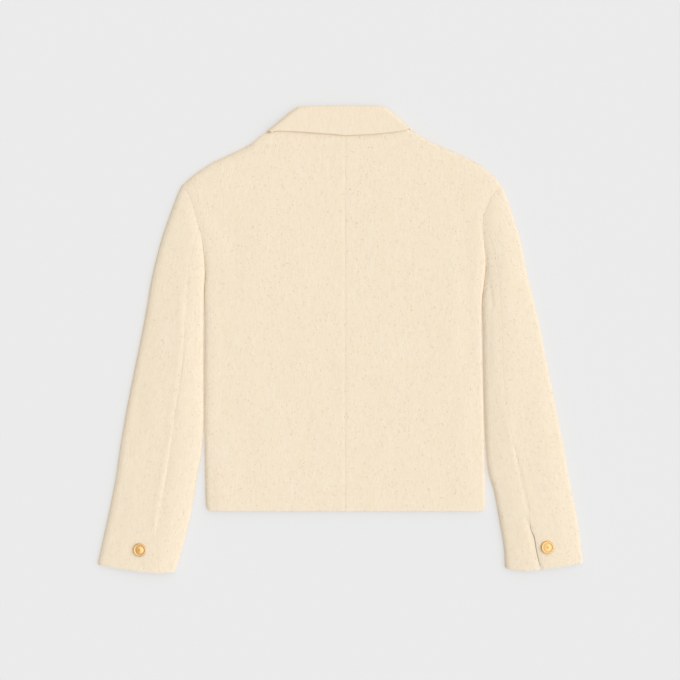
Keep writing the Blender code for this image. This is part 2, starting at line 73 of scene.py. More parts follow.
MM = 0.001
CLOTH = 3.0
SEAM = 0.03  # between two pieces that are sewn together
CREASE_GAP = 1.3  # between the body and a sleeve that lies beside it
CREASE_OPENS = 0.15  # the share of their length below the underarm over which it opens
SOLID_SEAM = 0.3  # between the solids of sewn pieces
BEND = 2.6  # radius of the middle of the cloth where it turns under
NECK_BEND = 2.25  # and round the neck
LOW = CLOTH / 2  # height of the middle of the lower layer
COLLAR_CLOTH = 2.6
STAND_TO_LEAF = 3.1  # from the middle of the one to the other's
OUTSIDE_LEAF = NECK_BEND + STAND_TO_LEAF + COLLAR_CLOTH / 2  # from the neck's axis
PAST_LEAF = 5.0  # the shoulder comes level with the leaf this far beyond it
STAND_AT_SIDE = 30.0  # the side fold's length from its corner to the seam
UNDERARM = 336.0  # above the hem
ARMHOLE_MARKS = 60
FRONT_NOTCH = 28.0  # the sleeve's front seam meets the armhole this far above the underarm

LEFT = {
    "name": "left",
    "side": -1,
    "fold_corner": (-72.2, 616.9),
    "leaf_corner": (-121.6, 576.1),
    "leaf_along": 62.0,
    "shoulder": (
        (-144.4, 558.4), (-174.8, 543.2), (-205.2, 528.7), (-231.2, 511.0), (-249.7, 495.6),
    ),
    "armhole": (
        (-249.7, 495.6), (-238.8, 484.1), (-231.2, 464.8), (-224.8, 440.9), (-218.3, 419.2),
        (-214.9, 392.9), (-212.8, 362.5), (-214.3, 336.0),
    ),
    "side_seam": (
        (-214.3, 336.0), (-214.5, 245.0), (-214.5, 120.0), (-213.4, 40.0), (-211.6, 0.0),
    ),
    "inner_fold": (
        (-214.3, 336.0), (-214.5, 245.0), (-214.5, 180.0), (-214.8, 122.0), (-217.6, 87.0),
        (-225.0, 48.0), (-235.6, -13.0), (-250.8, -72.0), (-258.4, -93.5),
    ),
    "outer_fold": (
        (-249.7, 495.6), (-258.4, 473.5), (-279.7, 412.7), (-294.9, 351.9), (-305.5, 291.0),
        (-317.7, 230.3), (-329.8, 169.5), (-340.5, 108.7), (-349.6, 47.9), (-361.8, -12.9),
        (-377.0, -80.6),
    ),
    "back_seam": (
        (-222.7, 433.0), (-235.6, 379.0), (-241.7, 321.5), (-247.8, 215.0), (-257.3, 156.4),
        (-263.5, 107.0), (-272.5, 47.9), (-283.3, -3.8), (-286.0, -40.0), (-283.5, -92.2),
    ),
    "vent": 0.0,  # how far it stands open
    "roll_off": 3.6,  # the outer bends' width by their height
    # How high the middle stands, how far in from the outline and from the armhole's seam it
    # does, and the width of the bend into that seam by its height
    "body": {"puff": 2.0, "reach": (40.0, 40.0), "crease_off": 2.4},
    "sleeve": {"puff": 5.0, "reach": (100.0, 34.0), "crease_off": 1.0},
}
RIGHT = {
    "name": "right",
    "side": 1,
    "fold_corner": (64.6, 614.9),
    "leaf_corner": (114.0, 570.3),
    "leaf_along": 50.0,
    "shoulder": (
        (129.2, 562.7), (172.7, 543.9), (194.6, 533.2), (215.8, 520.1), (240.2, 495.2),
    ),
    "armhole": (
        (240.2, 495.2), (222.6, 480.0), (217.2, 464.8), (210.5, 449.6), (209.0, 428.0),
        (211.3, 406.6), (214.0, 375.0), (211.0, 340.0),
    ),
    "side_seam": (
        (211.0, 340.0), (208.8, 320.0), (209.0, 285.0), (209.6, 250.0), (211.0, 180.0),
        (213.0, 105.0), (214.3, 40.0), (214.8, 0.0),
    ),
    "inner_fold": (
        (211.0, 340.0), (208.8, 320.0), (209.0, 285.0), (209.6, 250.0), (211.0, 180.0),
        (213.2, 108.0), (217.6, 60.0), (226.0, 30.0), (234.0, -12.9), (241.0, -55.0),
        (243.0, -86.0),
    ),
    "outer_fold": (
        (240.2, 495.2), (247.8, 473.5), (267.5, 412.7), (279.7, 351.9), (294.9, 291.0),
        (307.0, 230.3), (319.2, 169.5), (331.4, 108.7), (342.0, 47.9), (354.2, -12.9),
        (362.7, -78.3),
    ),
    "back_seam": (
        (214.0, 437.0), (229.0, 379.0), (235.6, 321.5), (240.0, 215.0), (244.3, 164.9),
        (255.4, 104.0), (271.5, 46.4), (279.0, 6.8), (281.5, -25.0), (286.8, -38.5),
        (290.6, -60.0), (297.5, -88.2),
    ),
    "vent": 0.75,
    "roll_off": 1.2,
    "body": {"puff": 2.0, "reach": (40.0, 40.0), "crease_off": 1.0},
    "sleeve": {"puff": 4.0, "reach": (40.0, 40.0), "crease_off": 2.2},
}

# How steeply the edges of the armhole seam turn down, in degrees by height above the hem
#  height, angle
SINK = (
    (UNDERARM, 90.0), (376.0, 72.0), (392.0, 48.0), (406.0, 22.0), (424.0, 10.0), (494.0, 4.0),
)

# The plan's origin in the frame: the centre back seam at the hem
hem_low, hem_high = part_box("back_left")
ORIGIN = np.array((hem_high.x / MM + SOLID_SEAM / 2, hem_low.y / MM, 0.0))


def through(rows, spacing=3.0):
    """A smooth line through the rows: Catmull-Rom cubics, as points about spacing apart."""
    p = np.array(rows, float)
    p = np.vstack((2 * p[0] - p[1], p, 2 * p[-1] - p[-2]))
    parts = []
    for a, b, c, d in zip(p[:-3], p[1:-2], p[2:-1], p[3:]):
        steps = max(2, int(np.linalg.norm(c - b) / spacing))
        t = np.linspace(0, 1, steps, endpoint=False)[:, None]
        bent = (2 * a - 5 * b + 4 * c - d) * t**2 + (3 * b - a - 3 * c + d) * t**3
        parts.append((2 * b + (c - a) * t + bent) / 2)
    return np.vstack(parts + [p[-2:-1]])


def lengths(line):
    """How far along the line each of its points is."""
    return np.concatenate(([0.0], np.cumsum(np.linalg.norm(np.diff(line, axis=0), axis=1))))


def along(line, places, at=None):
    """The line's values at places along it, by its own length or by the marks in at."""
    marks = lengths(line) if at is None else at
    return np.stack([np.interp(places, marks, line[:, k]) for k in range(2)], axis=1)


def shared(line, shares):
    """Points at these shares of the line's length."""
    return along(line, np.array(shares) * lengths(line)[-1])


def evenly(line, steps):
    """Points that part the line into even steps."""
    return shared(line, np.linspace(0, 1, steps + 1))


def joined(*lines):
    """Lines end to end, each starting where the one before it ends."""
    return np.vstack([lines[0]] + [line[1:] for line in lines[1:]])


def unit(vectors):
    """The vectors at a length of one."""
    return vectors / np.linalg.norm(vectors, axis=-1, keepdims=True)


def left_of(line):
    """Unit normals on the line's left."""
    t = unit(np.gradient(line, axis=0))
    return np.stack((-t[:, 1], t[:, 0]), axis=1)


def moved(line, by):
    """The line moved to its left by a distance, or by one for each point."""
    return line + left_of(line) * np.broadcast_to(by, len(line))[:, None]


def smooth(t):
    """Zero up to 0, one from 1, and 3t^2 - 2t^3 between them."""
    t = np.clip(t, 0, 1)
    return t * t * (3 - 2 * t)


def domed(t):
    """One from 1, and below it 2t - t^2, which rises at once and then levels off."""
    return 1 - (1 - np.clip(t, 0, 1)) ** 2


def sink(height):
    """Angle and bend radius of a sunk seam at a height, such that the two layers just clear."""
    rows = np.array(SINK)
    angle = np.interp(height, rows[:, 0], np.radians(rows[:, 1]))
    return angle, (BEND - (CLOTH + SOLID_SEAM) / 2 * np.cos(angle)) / (1 - np.cos(angle))


def side_lines(table):
    """The seams and folds of one side in the middle of the cloth, drawn as if on the left."""
    flip = np.array((-table["side"], 1.0))
    rows = {k: np.array(v) * flip for k, v in table.items() if np.ndim(v) == 2}
    lines = {k: through(v) for k, v in rows.items()}

    corner, leaf = table["fold_corner"] * flip, table["leaf_corner"] * flip
    down = (leaf - corner) / np.linalg.norm(leaf - corner)
    outward = np.array((down[1], -down[0]))
    axis = corner - outward * OUTSIDE_LEAF
    lines["axis"] = (axis, down, outward)
    under = outward * (NECK_BEND + CLOTH / 2)
    lines["neck_corner"] = axis + down * STAND_AT_SIDE
    leaf_end = axis + down * table["leaf_along"] + under
    past_leaf = axis + down * (table["leaf_along"] + PAST_LEAF) + outward * OUTSIDE_LEAF
    to_leaf = np.array((lines["neck_corner"] + under, leaf_end))
    shoulder = joined(to_leaf, through(np.vstack((leaf_end, past_leaf, rows["shoulder"]))))
    lines["shoulder"] = moved(shoulder, CLOTH / 2)
    lines["outer_fold"] = moved(lines["outer_fold"], CLOTH / 2)

    seam = lines["armhole"]
    marks = np.linspace(0, lengths(seam)[-1], ARMHOLE_MARKS)
    nodes = along(seam, marks)
    nodes[0] = (lines["shoulder"][-1] + lines["outer_fold"][0]) / 2
    angle, _ = sink(nodes[:, 1])
    from_seam = CLOTH / 2 * np.sin(angle) + SEAM / 2
    aside = along(left_of(seam), marks, lengths(seam)) * from_seam[:, None]
    lines["marks"] = marks
    lines["body_armhole"] = nodes + aside
    lines["sleeve_armhole"] = nodes - aside
    lines["shoulder"][-1] = lines["body_armhole"][0]
    lines["outer_fold"][0] = lines["sleeve_armhole"][0]
    closest = np.linalg.norm(seam - lines["back_seam"][0], axis=1).argmin()
    lines["back_mark"] = lengths(seam)[closest]
    lines["front_mark"] = marks[-1] - FRONT_NOTCH
    return lines


def on_armhole(lines, side, places):
    """Points on the body's or the sleeve's edge at distances down from the shoulder point."""
    return along(lines[side + "_armhole"], places, lines["marks"])


def beside(lines, name, places, side):
    """The side seam or the sleeve's inner fold at shares of its length, half the cloth aside."""
    gap = SEAM + (CREASE_GAP - SEAM) * smooth(places / CREASE_OPENS)
    line = moved(shared(lines[name], places), side * (CLOTH + gap) / 2)
    line[0] = on_armhole(lines, "body" if side > 0 else "sleeve", lines["marks"][-1:])[0]
    return line


SIDES = [(table, side_lines(table)) for table in (LEFT, RIGHT)]


# The tweed
#
# A cream boucle tweed of wool with some cotton, woven from slubby warp ends and a looped
# fancy yarn, then milled so that it is soft and thick. It is matt, with short pale dashes
# along the warp, small loops that stand proud, and painted shade in the pits between yarns.

WARP_PITCH = 1.5
PICK_PITCH = 1.7
DASH = 4.5  # picks under a slub
DASHES_APART = 7.0  # an end's slubs begin up to so many dashes on
WAVER_BY = 4.0  # ends and picks
#  name, width and length, place, detail, output
PATTERNS = (
    ("waver", (9.0, 12.0), 3.1, 2.0, "Color"),  # of the ends and picks
    ("fancy", (1.3, 2.2), 7.7, 2.0, "Fac"),  # the fancy yarn's loops
    ("fibres", (0.35, 0.6), 5.9, 1.0, "Fac"),
    ("mottle", (26.0, 60.0), 11.3, 3.0, "Fac"),  # patches where more cotton shows
)
PLACE_UP = 1.7  # a pattern's place up the noise by its place across
COTTON_FROM = (0.35, 0.7)  # the mottle where they begin, and where they are whole
COTTON_SHARE = 0.5
PIT_SHADE_FROM = (1.35, 0.9)  # the same for the painted shade in the pits, by the yarns' height
PIT_SHADE_SHARE = 0.3
FANCY_HEIGHT = 1.6  # beside a thread's of the weave
FIBRE_HEIGHT = 0.5
SLUB_HEIGHT = (0.7, 0.75)  # the thickest slub's less the thinnest one's, and the latter
FANCY_TONE = 0.8
SLUB_TONE = (0.6, -0.075)
YARN_RELIEF = 0.7
BUMP_STRENGTH = 0.3
NAP = {"Roughness": 0.95, "Specular IOR Level": 0.2, "Sheen Weight": 0.1, "Sheen Roughness": 0.6}
TWEED = "#F0E0C8"
TWEED_SHADE = "#ECDAC1"
TWEED_LIGHT = "#F4E6D0"
TWEED_COTTON = "#F0E1C5"
# the painted shade in the pits between the yarns
TWEED_PIT_SHADE = "#D9C4A2"

# How the cloth lies: the upper layer's rise and the lower layer's climb over the collar
NECK_CENTRE = (0.0, 600.0)
#  an ellipse's two radii; in multiples of them, where it begins and over what it grows
UNDER_LEAF = ((135.0, 185.0), 1.14, 0.14)
OVER_NECK = ((135.0, 120.0), 1.45, 0.75)
SEAM_PUFF = 2.0  # the armhole seam's own rise, this far in from the shoulder
SEAM_REACH = 40.0
SEAM_FREE = 150.0  # it has all of it this far above the underarm
LEAST_RISE = 0.5  # that the normals of a bend are worked out with
LEAF_ROOM = COLLAR_CLOTH + SEAM
NECK_HEIGHT = LOW + LEAF_ROOM + NECK_BEND
TOP_OF_NECK = NECK_HEIGHT + NECK_BEND
EDGES = {"seam": (2.6, 0.18), "hem": (1.0, 0.7)}  # how far in an edge thins, and by how much
SAG = 0.4  # the folds lie this share of their bend above the lower layer
UNEVEN = 0.35  # how much the cloth swells and sags between its creases
#  how wide and how long its swells are, their share, and the seed of their noise
SWELLS = ((58, 90, 1.0, 3), (21, 37, 0.5, 4))
NOISE_CELLS = (97, 89)

# Loops of the fancy yarn that stand out of the cloth
LOOP_RADIUS = 0.8
LOOP_WIDTHS = (0.6, 1.3)  # in loop radii, at random
LOOP_LENGTHS = (1.0, 1.7)  # in their widths
LOOP_HEIGHT = 0.45
LOOP_HEIGHTS = (0.5, 1.2)  # in loop heights
LOOP_TURN = 1.5  # half turns from end to end
LOOP_YARN = 0.45
LOOP_SPACING = 7.5
LOOP_RINGS = 8
LOOP_CORNERS = (90, 210, 330)  # of the yarn's section
FACES_UP = 0.6  # they stand only where the cloth's normal is at least this upright

# Distances from an edge at which a grid has its points
CUT = (0.0, 0.3, 0.8, 1.7, 3.4)
WIDEST_BEND = 9.4
FOLD = tuple(WIDEST_BEND * (1 - np.cos(np.radians((0, 7.5, 15, 30, 45, 60, 75, 90))))) + (12.0,)
FINE = 2.6
COARSE = 6.0
CROWDED = 0.8  # the most of a grid's width that its set distances take
SHARP_FROM = 60  # degrees
MERGED = 3  # decimals of a millimetre to which points are one
ARC_STEPS = 8  # of a crease
UV_APART = 400  # between one piece's place in the weave and the next one's


def linear(colour):
    """An sRGB hex colour as linear red, green, blue and alpha."""
    value = np.array([int(colour[k : k + 2], 16) for k in (1, 3, 5)]) / 255
    value = np.where(value <= 0.04045, value / 12.92, ((value + 0.055) / 1.055) ** 2.4)
    return (*value, 1.0)


def add_node(tree, kind, *values, inputs=(), **settings):
    """Adds a shader node with its settings, and gives its outputs.

    Its first inputs in their order, and others by name, are set to values or linked to outputs.
    """
    node = tree.nodes.new("ShaderNode" + kind)
    for name, value in settings.items():
        setattr(node, name, value)
    for name, value in [*enumerate(values), *dict(inputs).items()]:
        if isinstance(value, bpy.types.NodeSocket):
            tree.links.new(value, node.inputs[name])
        else:
            node.inputs[name].default_value = value
    return node.outputs


def new_material(name):
    """A material with an empty tree, and that tree."""
    made = bpy.data.materials.new(name)
    made.use_nodes = True
    made.node_tree.nodes.clear()
    return made, made.node_tree


def finished(tree, inputs):
    """Ends a material's tree with its shader, which has these inputs."""
    shader = add_node(tree, "BsdfPrincipled", inputs=inputs)
    add_node(tree, "OutputMaterial", shader[0])


def tweed_material():
    """Milled wool, all matt with a sheen from its nap, in a plain weave of uneven yarns.

    With x and y in ends and picks, both wavering, and s = sin(pi x) sin(pi y), the warp's height
    is |sin(pi x)| (1 + s) / 2, the weft's |sin(pi y)| (1 - s) / 2, and the cloth's the higher of
    the two. Each end is made of slubs, thicker and thinner and lighter and darker at random.
    """
    made, tree = new_material("boucle_tweed")
    cloth = add_node(tree, "UVMap", uv_map="cloth")["UV"]
    outputs = {}
    for name, (wide, long), place, detail, output in PATTERNS:
        size = (1 / (wide * MM), 1 / (long * MM), 1.0)
        inputs = {"Vector": cloth, "Scale": size, "Location": (place, PLACE_UP * place, 0.0)}
        vector = add_node(tree, "Mapping", inputs=inputs)["Vector"]
        inputs = {"Vector": vector, "Scale": 1.0, "Detail": detail}
        outputs[name] = add_node(tree, "TexNoise", inputs=inputs)[output]
    for name, source in (("place", cloth), ("aside", outputs["waver"])):
        parts = add_node(tree, "SeparateXYZ", source)
        outputs[name + " x"], outputs[name + " y"] = parts["X"], parts["Y"]

    #  name, kind of node or operation, then values or the names of earlier outputs
    weave = (
        # The count of ends and of picks, and a random number for each slub
        ("x", "DIVIDE", "place x", WARP_PITCH * MM),
        ("x", "MULTIPLY_ADD", "aside x", WAVER_BY, "x"),
        ("y", "DIVIDE", "place y", PICK_PITCH * MM),
        ("y", "MULTIPLY_ADD", "aside y", WAVER_BY, "y"),
        ("end", "FLOOR", "x"),
        ("start", "CombineXYZ", "end", "end"),
        ("start", "TexWhiteNoise", "start"),
        ("dash", "DIVIDE", "y", DASH),
        ("dash", "MULTIPLY_ADD", "start", DASHES_APART, "dash"),
        ("dash", "FLOOR", "dash"),
        ("slub", "CombineXYZ", "end", "dash"),
        ("slub", "TexWhiteNoise", "slub"),
        # The height of the weave, with the fibres and the fancy yarn on it
        ("x", "MULTIPLY", "x", np.pi),
        ("x", "SINE", "x"),
        ("y", "MULTIPLY", "y", np.pi),
        ("y", "SINE", "y"),
        ("both", "MULTIPLY", "x", "y"),
        ("warp", "ABSOLUTE", "x"),
        ("over", "MULTIPLY_ADD", "both", 0.5, 0.5),
        ("warp", "MULTIPLY", "warp", "over"),
        ("thick", "MULTIPLY_ADD", "slub", *SLUB_HEIGHT),
        ("warp", "MULTIPLY", "warp", "thick"),
        ("weft", "ABSOLUTE", "y"),
        ("over", "MULTIPLY_ADD", "both", -0.5, 0.5),
        ("weft", "MULTIPLY", "weft", "over"),
        ("height", "MAXIMUM", "warp", "weft"),
        ("height", "MULTIPLY_ADD", "fibres", FIBRE_HEIGHT, "height"),
        ("height", "MULTIPLY_ADD", "fancy", FANCY_HEIGHT, "height"),
        # The colour of the yarns by their tone, then that of the cotton, then painted shade where
        # the weave is low
        ("tone", "MULTIPLY_ADD", "slub", *SLUB_TONE),
        ("tone", "MULTIPLY_ADD", "fancy", FANCY_TONE, "tone"),
        ("ramp", "ValToRGB", "tone"),
        ("share", "MapRange", "mottle", *COTTON_FROM),
        ("share", "MULTIPLY", "share", COTTON_SHARE),
        ("colour", "MixRGB", "share", "ramp", linear(TWEED_COTTON)),
        ("share", "MapRange", "height", *PIT_SHADE_FROM),
        ("share", "MULTIPLY", "share", PIT_SHADE_SHARE),
        ("colour", "MixRGB", "share", "colour", linear(TWEED_PIT_SHADE)),
    )
    for name, kind, *values in weave:
        values = [outputs.get(value, value) for value in values]
        settings = {}
        if kind.isupper():
            kind, settings = "Math", {"operation": kind}
        outputs[name] = add_node(tree, kind, *values, **settings)[0]
    stops = outputs["ramp"].node.color_ramp.elements
    stops[0].color = linear(TWEED_SHADE)
    stops[1].color = linear(TWEED_LIGHT)
    stops.new(0.5).color = linear(TWEED)

    relief = {"Strength": BUMP_STRENGTH, "Distance": YARN_RELIEF * MM}
    bump = add_node(tree, "Bump", inputs={**relief, "Height": outputs["height"]})[0]
    finished(tree, {**NAP, "Base Color": outputs["colour"], "Normal": bump})
    return made


TWEED_MATERIAL = tweed_material()


def steps(length, spacing, first=(0.0,), last=(0.0,)):
    """Distances from 0 to length: first and last from its two ends, and even ones between."""
    start, end = np.array(first), length - np.array(last)[::-1]
    count = max(2, round((end[0] - start[-1]) / spacing))
    return np.concatenate((start, np.linspace(start[-1], end[0], count + 1)[1:-1], end))


def across(a, b, from_a, from_b, middle):
    """A grid from line a to line b: points at set distances from each, and even ones between."""
    width = np.linalg.norm(b - a, axis=1)
    fit = np.minimum(1, CROWDED * width / (from_a[-1] + from_b[-1]))
    near_a = [d * fit / width for d in from_a]
    near_b = [1 - d * fit / width for d in from_b[::-1]]
    step = (near_b[0] - near_a[-1]) / (middle + 1)
    between = [near_a[-1] + step * k for k in range(1, middle + 1)]
    return np.stack([a + (b - a) * f[:, None] for f in near_a + between + near_b])


def patch(left, right, low, high, u, v):
    """A Coons grid between four rows of points that share their corners, at shares u and v."""
    u, v = np.array(u)[:, None, None], np.array(v)[None, :, None]
    at_left = (1 - v) * left[0] + v * left[-1]
    at_right = (1 - v) * right[0] + v * right[-1]
    ruled = (1 - u) * left[None] + u * right[None] + (1 - v) * low[:, None] + v * high[:, None]
    return ruled - ((1 - u) * at_left + u * at_right)


def nearest(line, points):
    """For each point: distance to the line, the line's height there and its left normal."""
    start, step = line[:-1], np.diff(line, axis=0)
    gap = points[:, None] - start
    t = np.clip((gap * step).sum(2) / (step**2).sum(1), 0, 1)
    away = np.linalg.norm(gap - step * t[..., None], axis=2)
    i = away.argmin(1)
    t = t[np.arange(len(points)), i][:, None]
    normals = left_of(line)
    normals = unit(normals[i] * (1 - t) + normals[i + 1] * t)
    return away.min(1), line[i, 1] + step[i, 1] * t[:, 0], normals


def rounded(plan, corner, reach):
    """The square of reach inside a corner, turned to a quarter disc.

    With u and v from 0 inside to 1 at its edges, they become u sqrt(1 - v^2 / 2) and the other
    way round.
    """
    inner = np.array((corner[0] + reach, corner[1] + reach))
    u, v = np.clip((inner - plan) / reach, 0, 1).transpose(2, 0, 1)
    u, v = u * np.sqrt(1 - v**2 / 2), v * np.sqrt(1 - u**2 / 2)
    inside = (plan < inner).all(axis=2, keepdims=True)
    return np.where(inside, inner - np.stack((u, v), axis=2) * reach, plan)


def near_neck(points, reach, begins, over):
    """One near the neck and zero past an ellipse round it, with a smooth step between them."""
    away = (points - np.array(NECK_CENTRE)) / reach
    return smooth((begins - np.linalg.norm(away, axis=-1)) / over)


def laid(grid, rim, sunk, upper, roll_off, form, clear=0.0):
    """Puts a plan grid on a layer, as points and the unit normals that point out of the garment.

    At rim, the outline, the layer bends to the other one in a quarter ellipse, roll_off times
    as wide as the bend on the upper side. At sunk, the armhole and the crease under it, the
    edge sinks by the angle and radius of sink(), stretched sideways by form's crease_off. Both
    lines have the cloth on their left. Where it turns right down, the edge reaches the fold's
    height but for clear. The lower layer climbs over the collar's leaf. The upper one rises to
    the neck, and by form's puff between the two lines.
    """
    shape = grid.shape[:2]
    plan = grid.reshape(-1, 2)
    up = 1 if upper else -1
    out, _, rim_normal = nearest(rim, plan)
    near, height, sunk_normal = nearest(sunk, plan)
    lift = near_neck(plan, *UNDER_LEAF)
    bend = BEND + (NECK_BEND - BEND) * lift
    fold = LOW + (LEAF_ROOM * lift + bend) * (SAG + (1 - SAG) * lift)
    rise = fold - LOW - LEAF_ROOM * lift
    if upper:
        raised = near_neck(plan, *OVER_NECK)
        free = smooth((height - UNDERARM) / SEAM_FREE)
        from_rim, from_seam = form["reach"]
        share = domed(near / from_seam)
        crown = share * form["puff"] * domed(out / from_rim)
        crown += (1 - share) * free * SEAM_PUFF * domed(out / SEAM_REACH)
        flat = LOW + 2 * BEND
        rise = flat + (TOP_OF_NECK - flat) * raised + crown * (1 - raised) - fold
    wide = roll_off if upper else 1.0
    lean = np.clip(1 - out / (bend * wide), 0, 1)
    face = np.sqrt(1 - lean**2)
    steep = face * wide * bend / np.maximum(rise, LEAST_RISE)
    normal = unit(np.column_stack((-rim_normal * lean[:, None], up * steep)))
    points = np.column_stack((plan, fold + up * np.maximum(rise * face, 0.0)))

    angle, radius = sink(height)
    spread = 1 + (form["crease_off"] - 1) * smooth(angle)
    left = np.clip(radius * np.sin(angle) - near / spread, 0, None)
    depth = radius - np.sqrt(radius**2 - left**2)
    steeper = smooth(2 * angle / np.pi)
    deeper = 1 + (np.abs(flat - fold) / BEND - 1) * steeper if upper else np.ones(len(plan))
    points -= normal * (depth * deeper)[:, None]
    points[:, 2] = fold + up * np.maximum(up * (points[:, 2] - fold), clear)
    tilt = (left / radius)[:, None]
    aside = np.column_stack((-sunk_normal, np.zeros(len(plan))))
    normal = unit(normal * (np.sqrt(1 - tilt**2) * (spread / deeper)[:, None]) + aside * tilt)
    return points.reshape(*shape, 3), normal.reshape(*shape, 3)


def runs(points, axis):
    """How far each point of a grid is along its line, from the line's first point."""
    step = np.linalg.norm(np.diff(points, axis=axis), axis=2)
    return np.cumsum(np.insert(step, 0, 0.0, axis=axis), axis=axis)


def half_thickness(grid, thickness):
    """Half the cloth's thickness over a grid: less at its edges by depth (1 - away / width)^2."""
    half = np.full(grid["points"].shape[:2], thickness / 2)
    for axis, names in ((0, ("first", "last")), (1, ("low", "high"))):
        run = runs(grid["points"], axis)
        total = run.take([-1], axis=axis)
        for name, away in zip(names, (run, total - run)):
            if name in grid["edges"]:
                width, depth = EDGES[grid["edges"][name]]
                less = depth * np.clip(1 - away / width, 0, 1) ** 2
                half = np.minimum(half, thickness / 2 - less)
    return half


def noise(x, y, seed):
    """Smooth noise of unit cells between -1 and 1: random corner values, blended by smooth()."""
    values = np.random.default_rng(seed).uniform(-1, 1, NOISE_CELLS)
    i, j = np.floor(x).astype(int), np.floor(y).astype(int)
    s, t = smooth(x - i), smooth(y - j)

    def corner(a, b):
        return values[(i + a) % NOISE_CELLS[0], (j + b) % NOISE_CELLS[1]]

    low = corner(0, 0) * (1 - s) + corner(1, 0) * s
    high = corner(0, 1) * (1 - s) + corner(1, 1) * s
    return low * (1 - t) + high * t


def add_object(name, data):
    """A new object of this data, in the scene."""
    made = bpy.data.objects.new(name, data)
    bpy.context.scene.collection.objects.link(made)
    return made


def add_mesh(name, points, faces, uv, material):
    """A smooth mesh from arrays in plan millimetres, with a cloth UV in metres at each point."""
    mesh = bpy.data.meshes.new(name)
    mesh.from_pydata(((points + ORIGIN) * MM).tolist(), [], faces.tolist())
    layer = mesh.uv_layers.new(name="cloth")
    layer.uv.foreach_set("vector", (uv[faces.ravel()] * MM).ravel())
    mesh.materials.append(material)
    mesh.shade_smooth()
    return add_object(name, mesh)


def shell(name, grids, thickness):
    """One closed thin shell from grids that share their edges.

    A grid is its middle points, normals, cloth UV and the edges where it is sewn or hemmed.
    Points that grids share are merged, each is carried half the thickness out and in, and a
    strip closes the open edges.
    """
    points, normals, uv = (
        np.vstack([g[key].reshape(-1, g[key].shape[2]) for g in grids])
        for key in ("points", "normals", "uv")
    )
    half = np.concatenate([half_thickness(g, thickness).ravel() for g in grids])
    quads = []
    start = 0
    for g in grids:
        columns, rows = g["points"].shape[:2]
        i, j = np.meshgrid(np.arange(columns - 1), np.arange(rows - 1), indexing="ij")
        a = (start + i * rows + j).ravel()
        quads.append(np.column_stack((a, a + rows, a + rows + 1, a + 1)))
        start += columns * rows
    quads = np.vstack(quads)
    _, first, same = np.unique(points.round(MERGED), axis=0, return_index=True, return_inverse=True)
    points, normals, uv, half = (values[first] for values in (points, normals, uv, half))
    quads = same.reshape(-1)[quads]

    a, b, c, d = points[quads].transpose(1, 0, 2)
    if np.median((np.cross(c - a, d - b) * normals[quads[:, 0]]).sum(1)) < 0:
        quads = quads[:, ::-1]
    count = len(points)
    edges = np.vstack([quads[:, [k, (k + 1) % 4]] for k in range(4)])
    key = edges.min(1) * count + edges.max(1)
    _, index, uses = np.unique(key, return_index=True, return_counts=True)
    a, b = edges[index[uses == 1]].T
    strip = np.column_stack((b, a, a + count, b + count))
    faces = np.vstack((quads, quads[:, ::-1] + count, strip))
    walls = np.vstack((points + normals * half[:, None], points - normals * half[:, None]))
    piece = add_mesh(name, walls, faces, np.vstack((uv, uv)), TWEED_MATERIAL)
    piece.data.set_sharp_from_angle(angle=np.radians(SHARP_FROM))
    return piece


def relieved(points, normals, creases):
    """A layer's points moved along its normals by its creases and by its soft unevenness.

    A crease is an arc between two places, bowed sideways at its middle, and it moves the cloth
    by depth times exp(-(distance / width)^2): a trough where depth is negative, a ridge where
    it is positive.
    """
    plan = points[..., :2].reshape(-1, 2)
    x, y = plan.T
    rise = UNEVEN * sum(share * noise(x / w, y / h, seed) for w, h, share, seed in SWELLS)
    for x0, y0, x1, y1, bow, width, depth in creases:
        a, b = np.array((x0, y0)), np.array((x1, y1))
        t = np.linspace(0, 1, ARC_STEPS + 1)[:, None]
        across_it = np.array((a[1] - b[1], b[0] - a[0])) / np.linalg.norm(b - a)
        arc = a + (b - a) * t + across_it * bow * 4 * t * (1 - t)
        away, _, _ = nearest(arc, plan)
        rise += depth * np.exp(-((away / width) ** 2))
    return points + normals * rise.reshape(points.shape[:2])[..., None]


def on_face(grid, thickness, random):
    """Random places on a grid's face where it looks up: their points, normals, warp and UV.

    There is one for each square of LOOP_SPACING. The warp runs where the cloth's first
    coordinate stays as it is.
    """
    face = grid["points"] + grid["normals"] * half_thickness(grid, thickness)[..., None]
    to_next, to_above = face[1:, :-1] - face[:-1, :-1], face[:-1, 1:] - face[:-1, :-1]
    area = np.linalg.norm(np.cross(to_next, to_above), axis=2)
    area *= grid["normals"][:-1, :-1, 2] > FACES_UP
    count = int(area.sum() / LOOP_SPACING**2)
    chosen = random.choice(area.size, count, p=area.ravel() / area.sum())
    i, j = np.unravel_index(chosen, area.shape)
    s, t = random.random((2, count, 1))

    def read(values):
        low = values[i, j] * (1 - s) + values[i + 1, j] * s
        return low * (1 - t) + (values[i, j + 1] * (1 - s) + values[i + 1, j + 1] * s) * t

    u = grid["uv"][..., :1]
    to_next_u, to_above_u = u[i + 1, j] - u[i, j], u[i, j + 1] - u[i, j]
    warp = unit(to_next_u * to_above[i, j] - to_above_u * to_next[i, j])
    return read(face), unit(read(grid["normals"])), warp, read(grid["uv"])


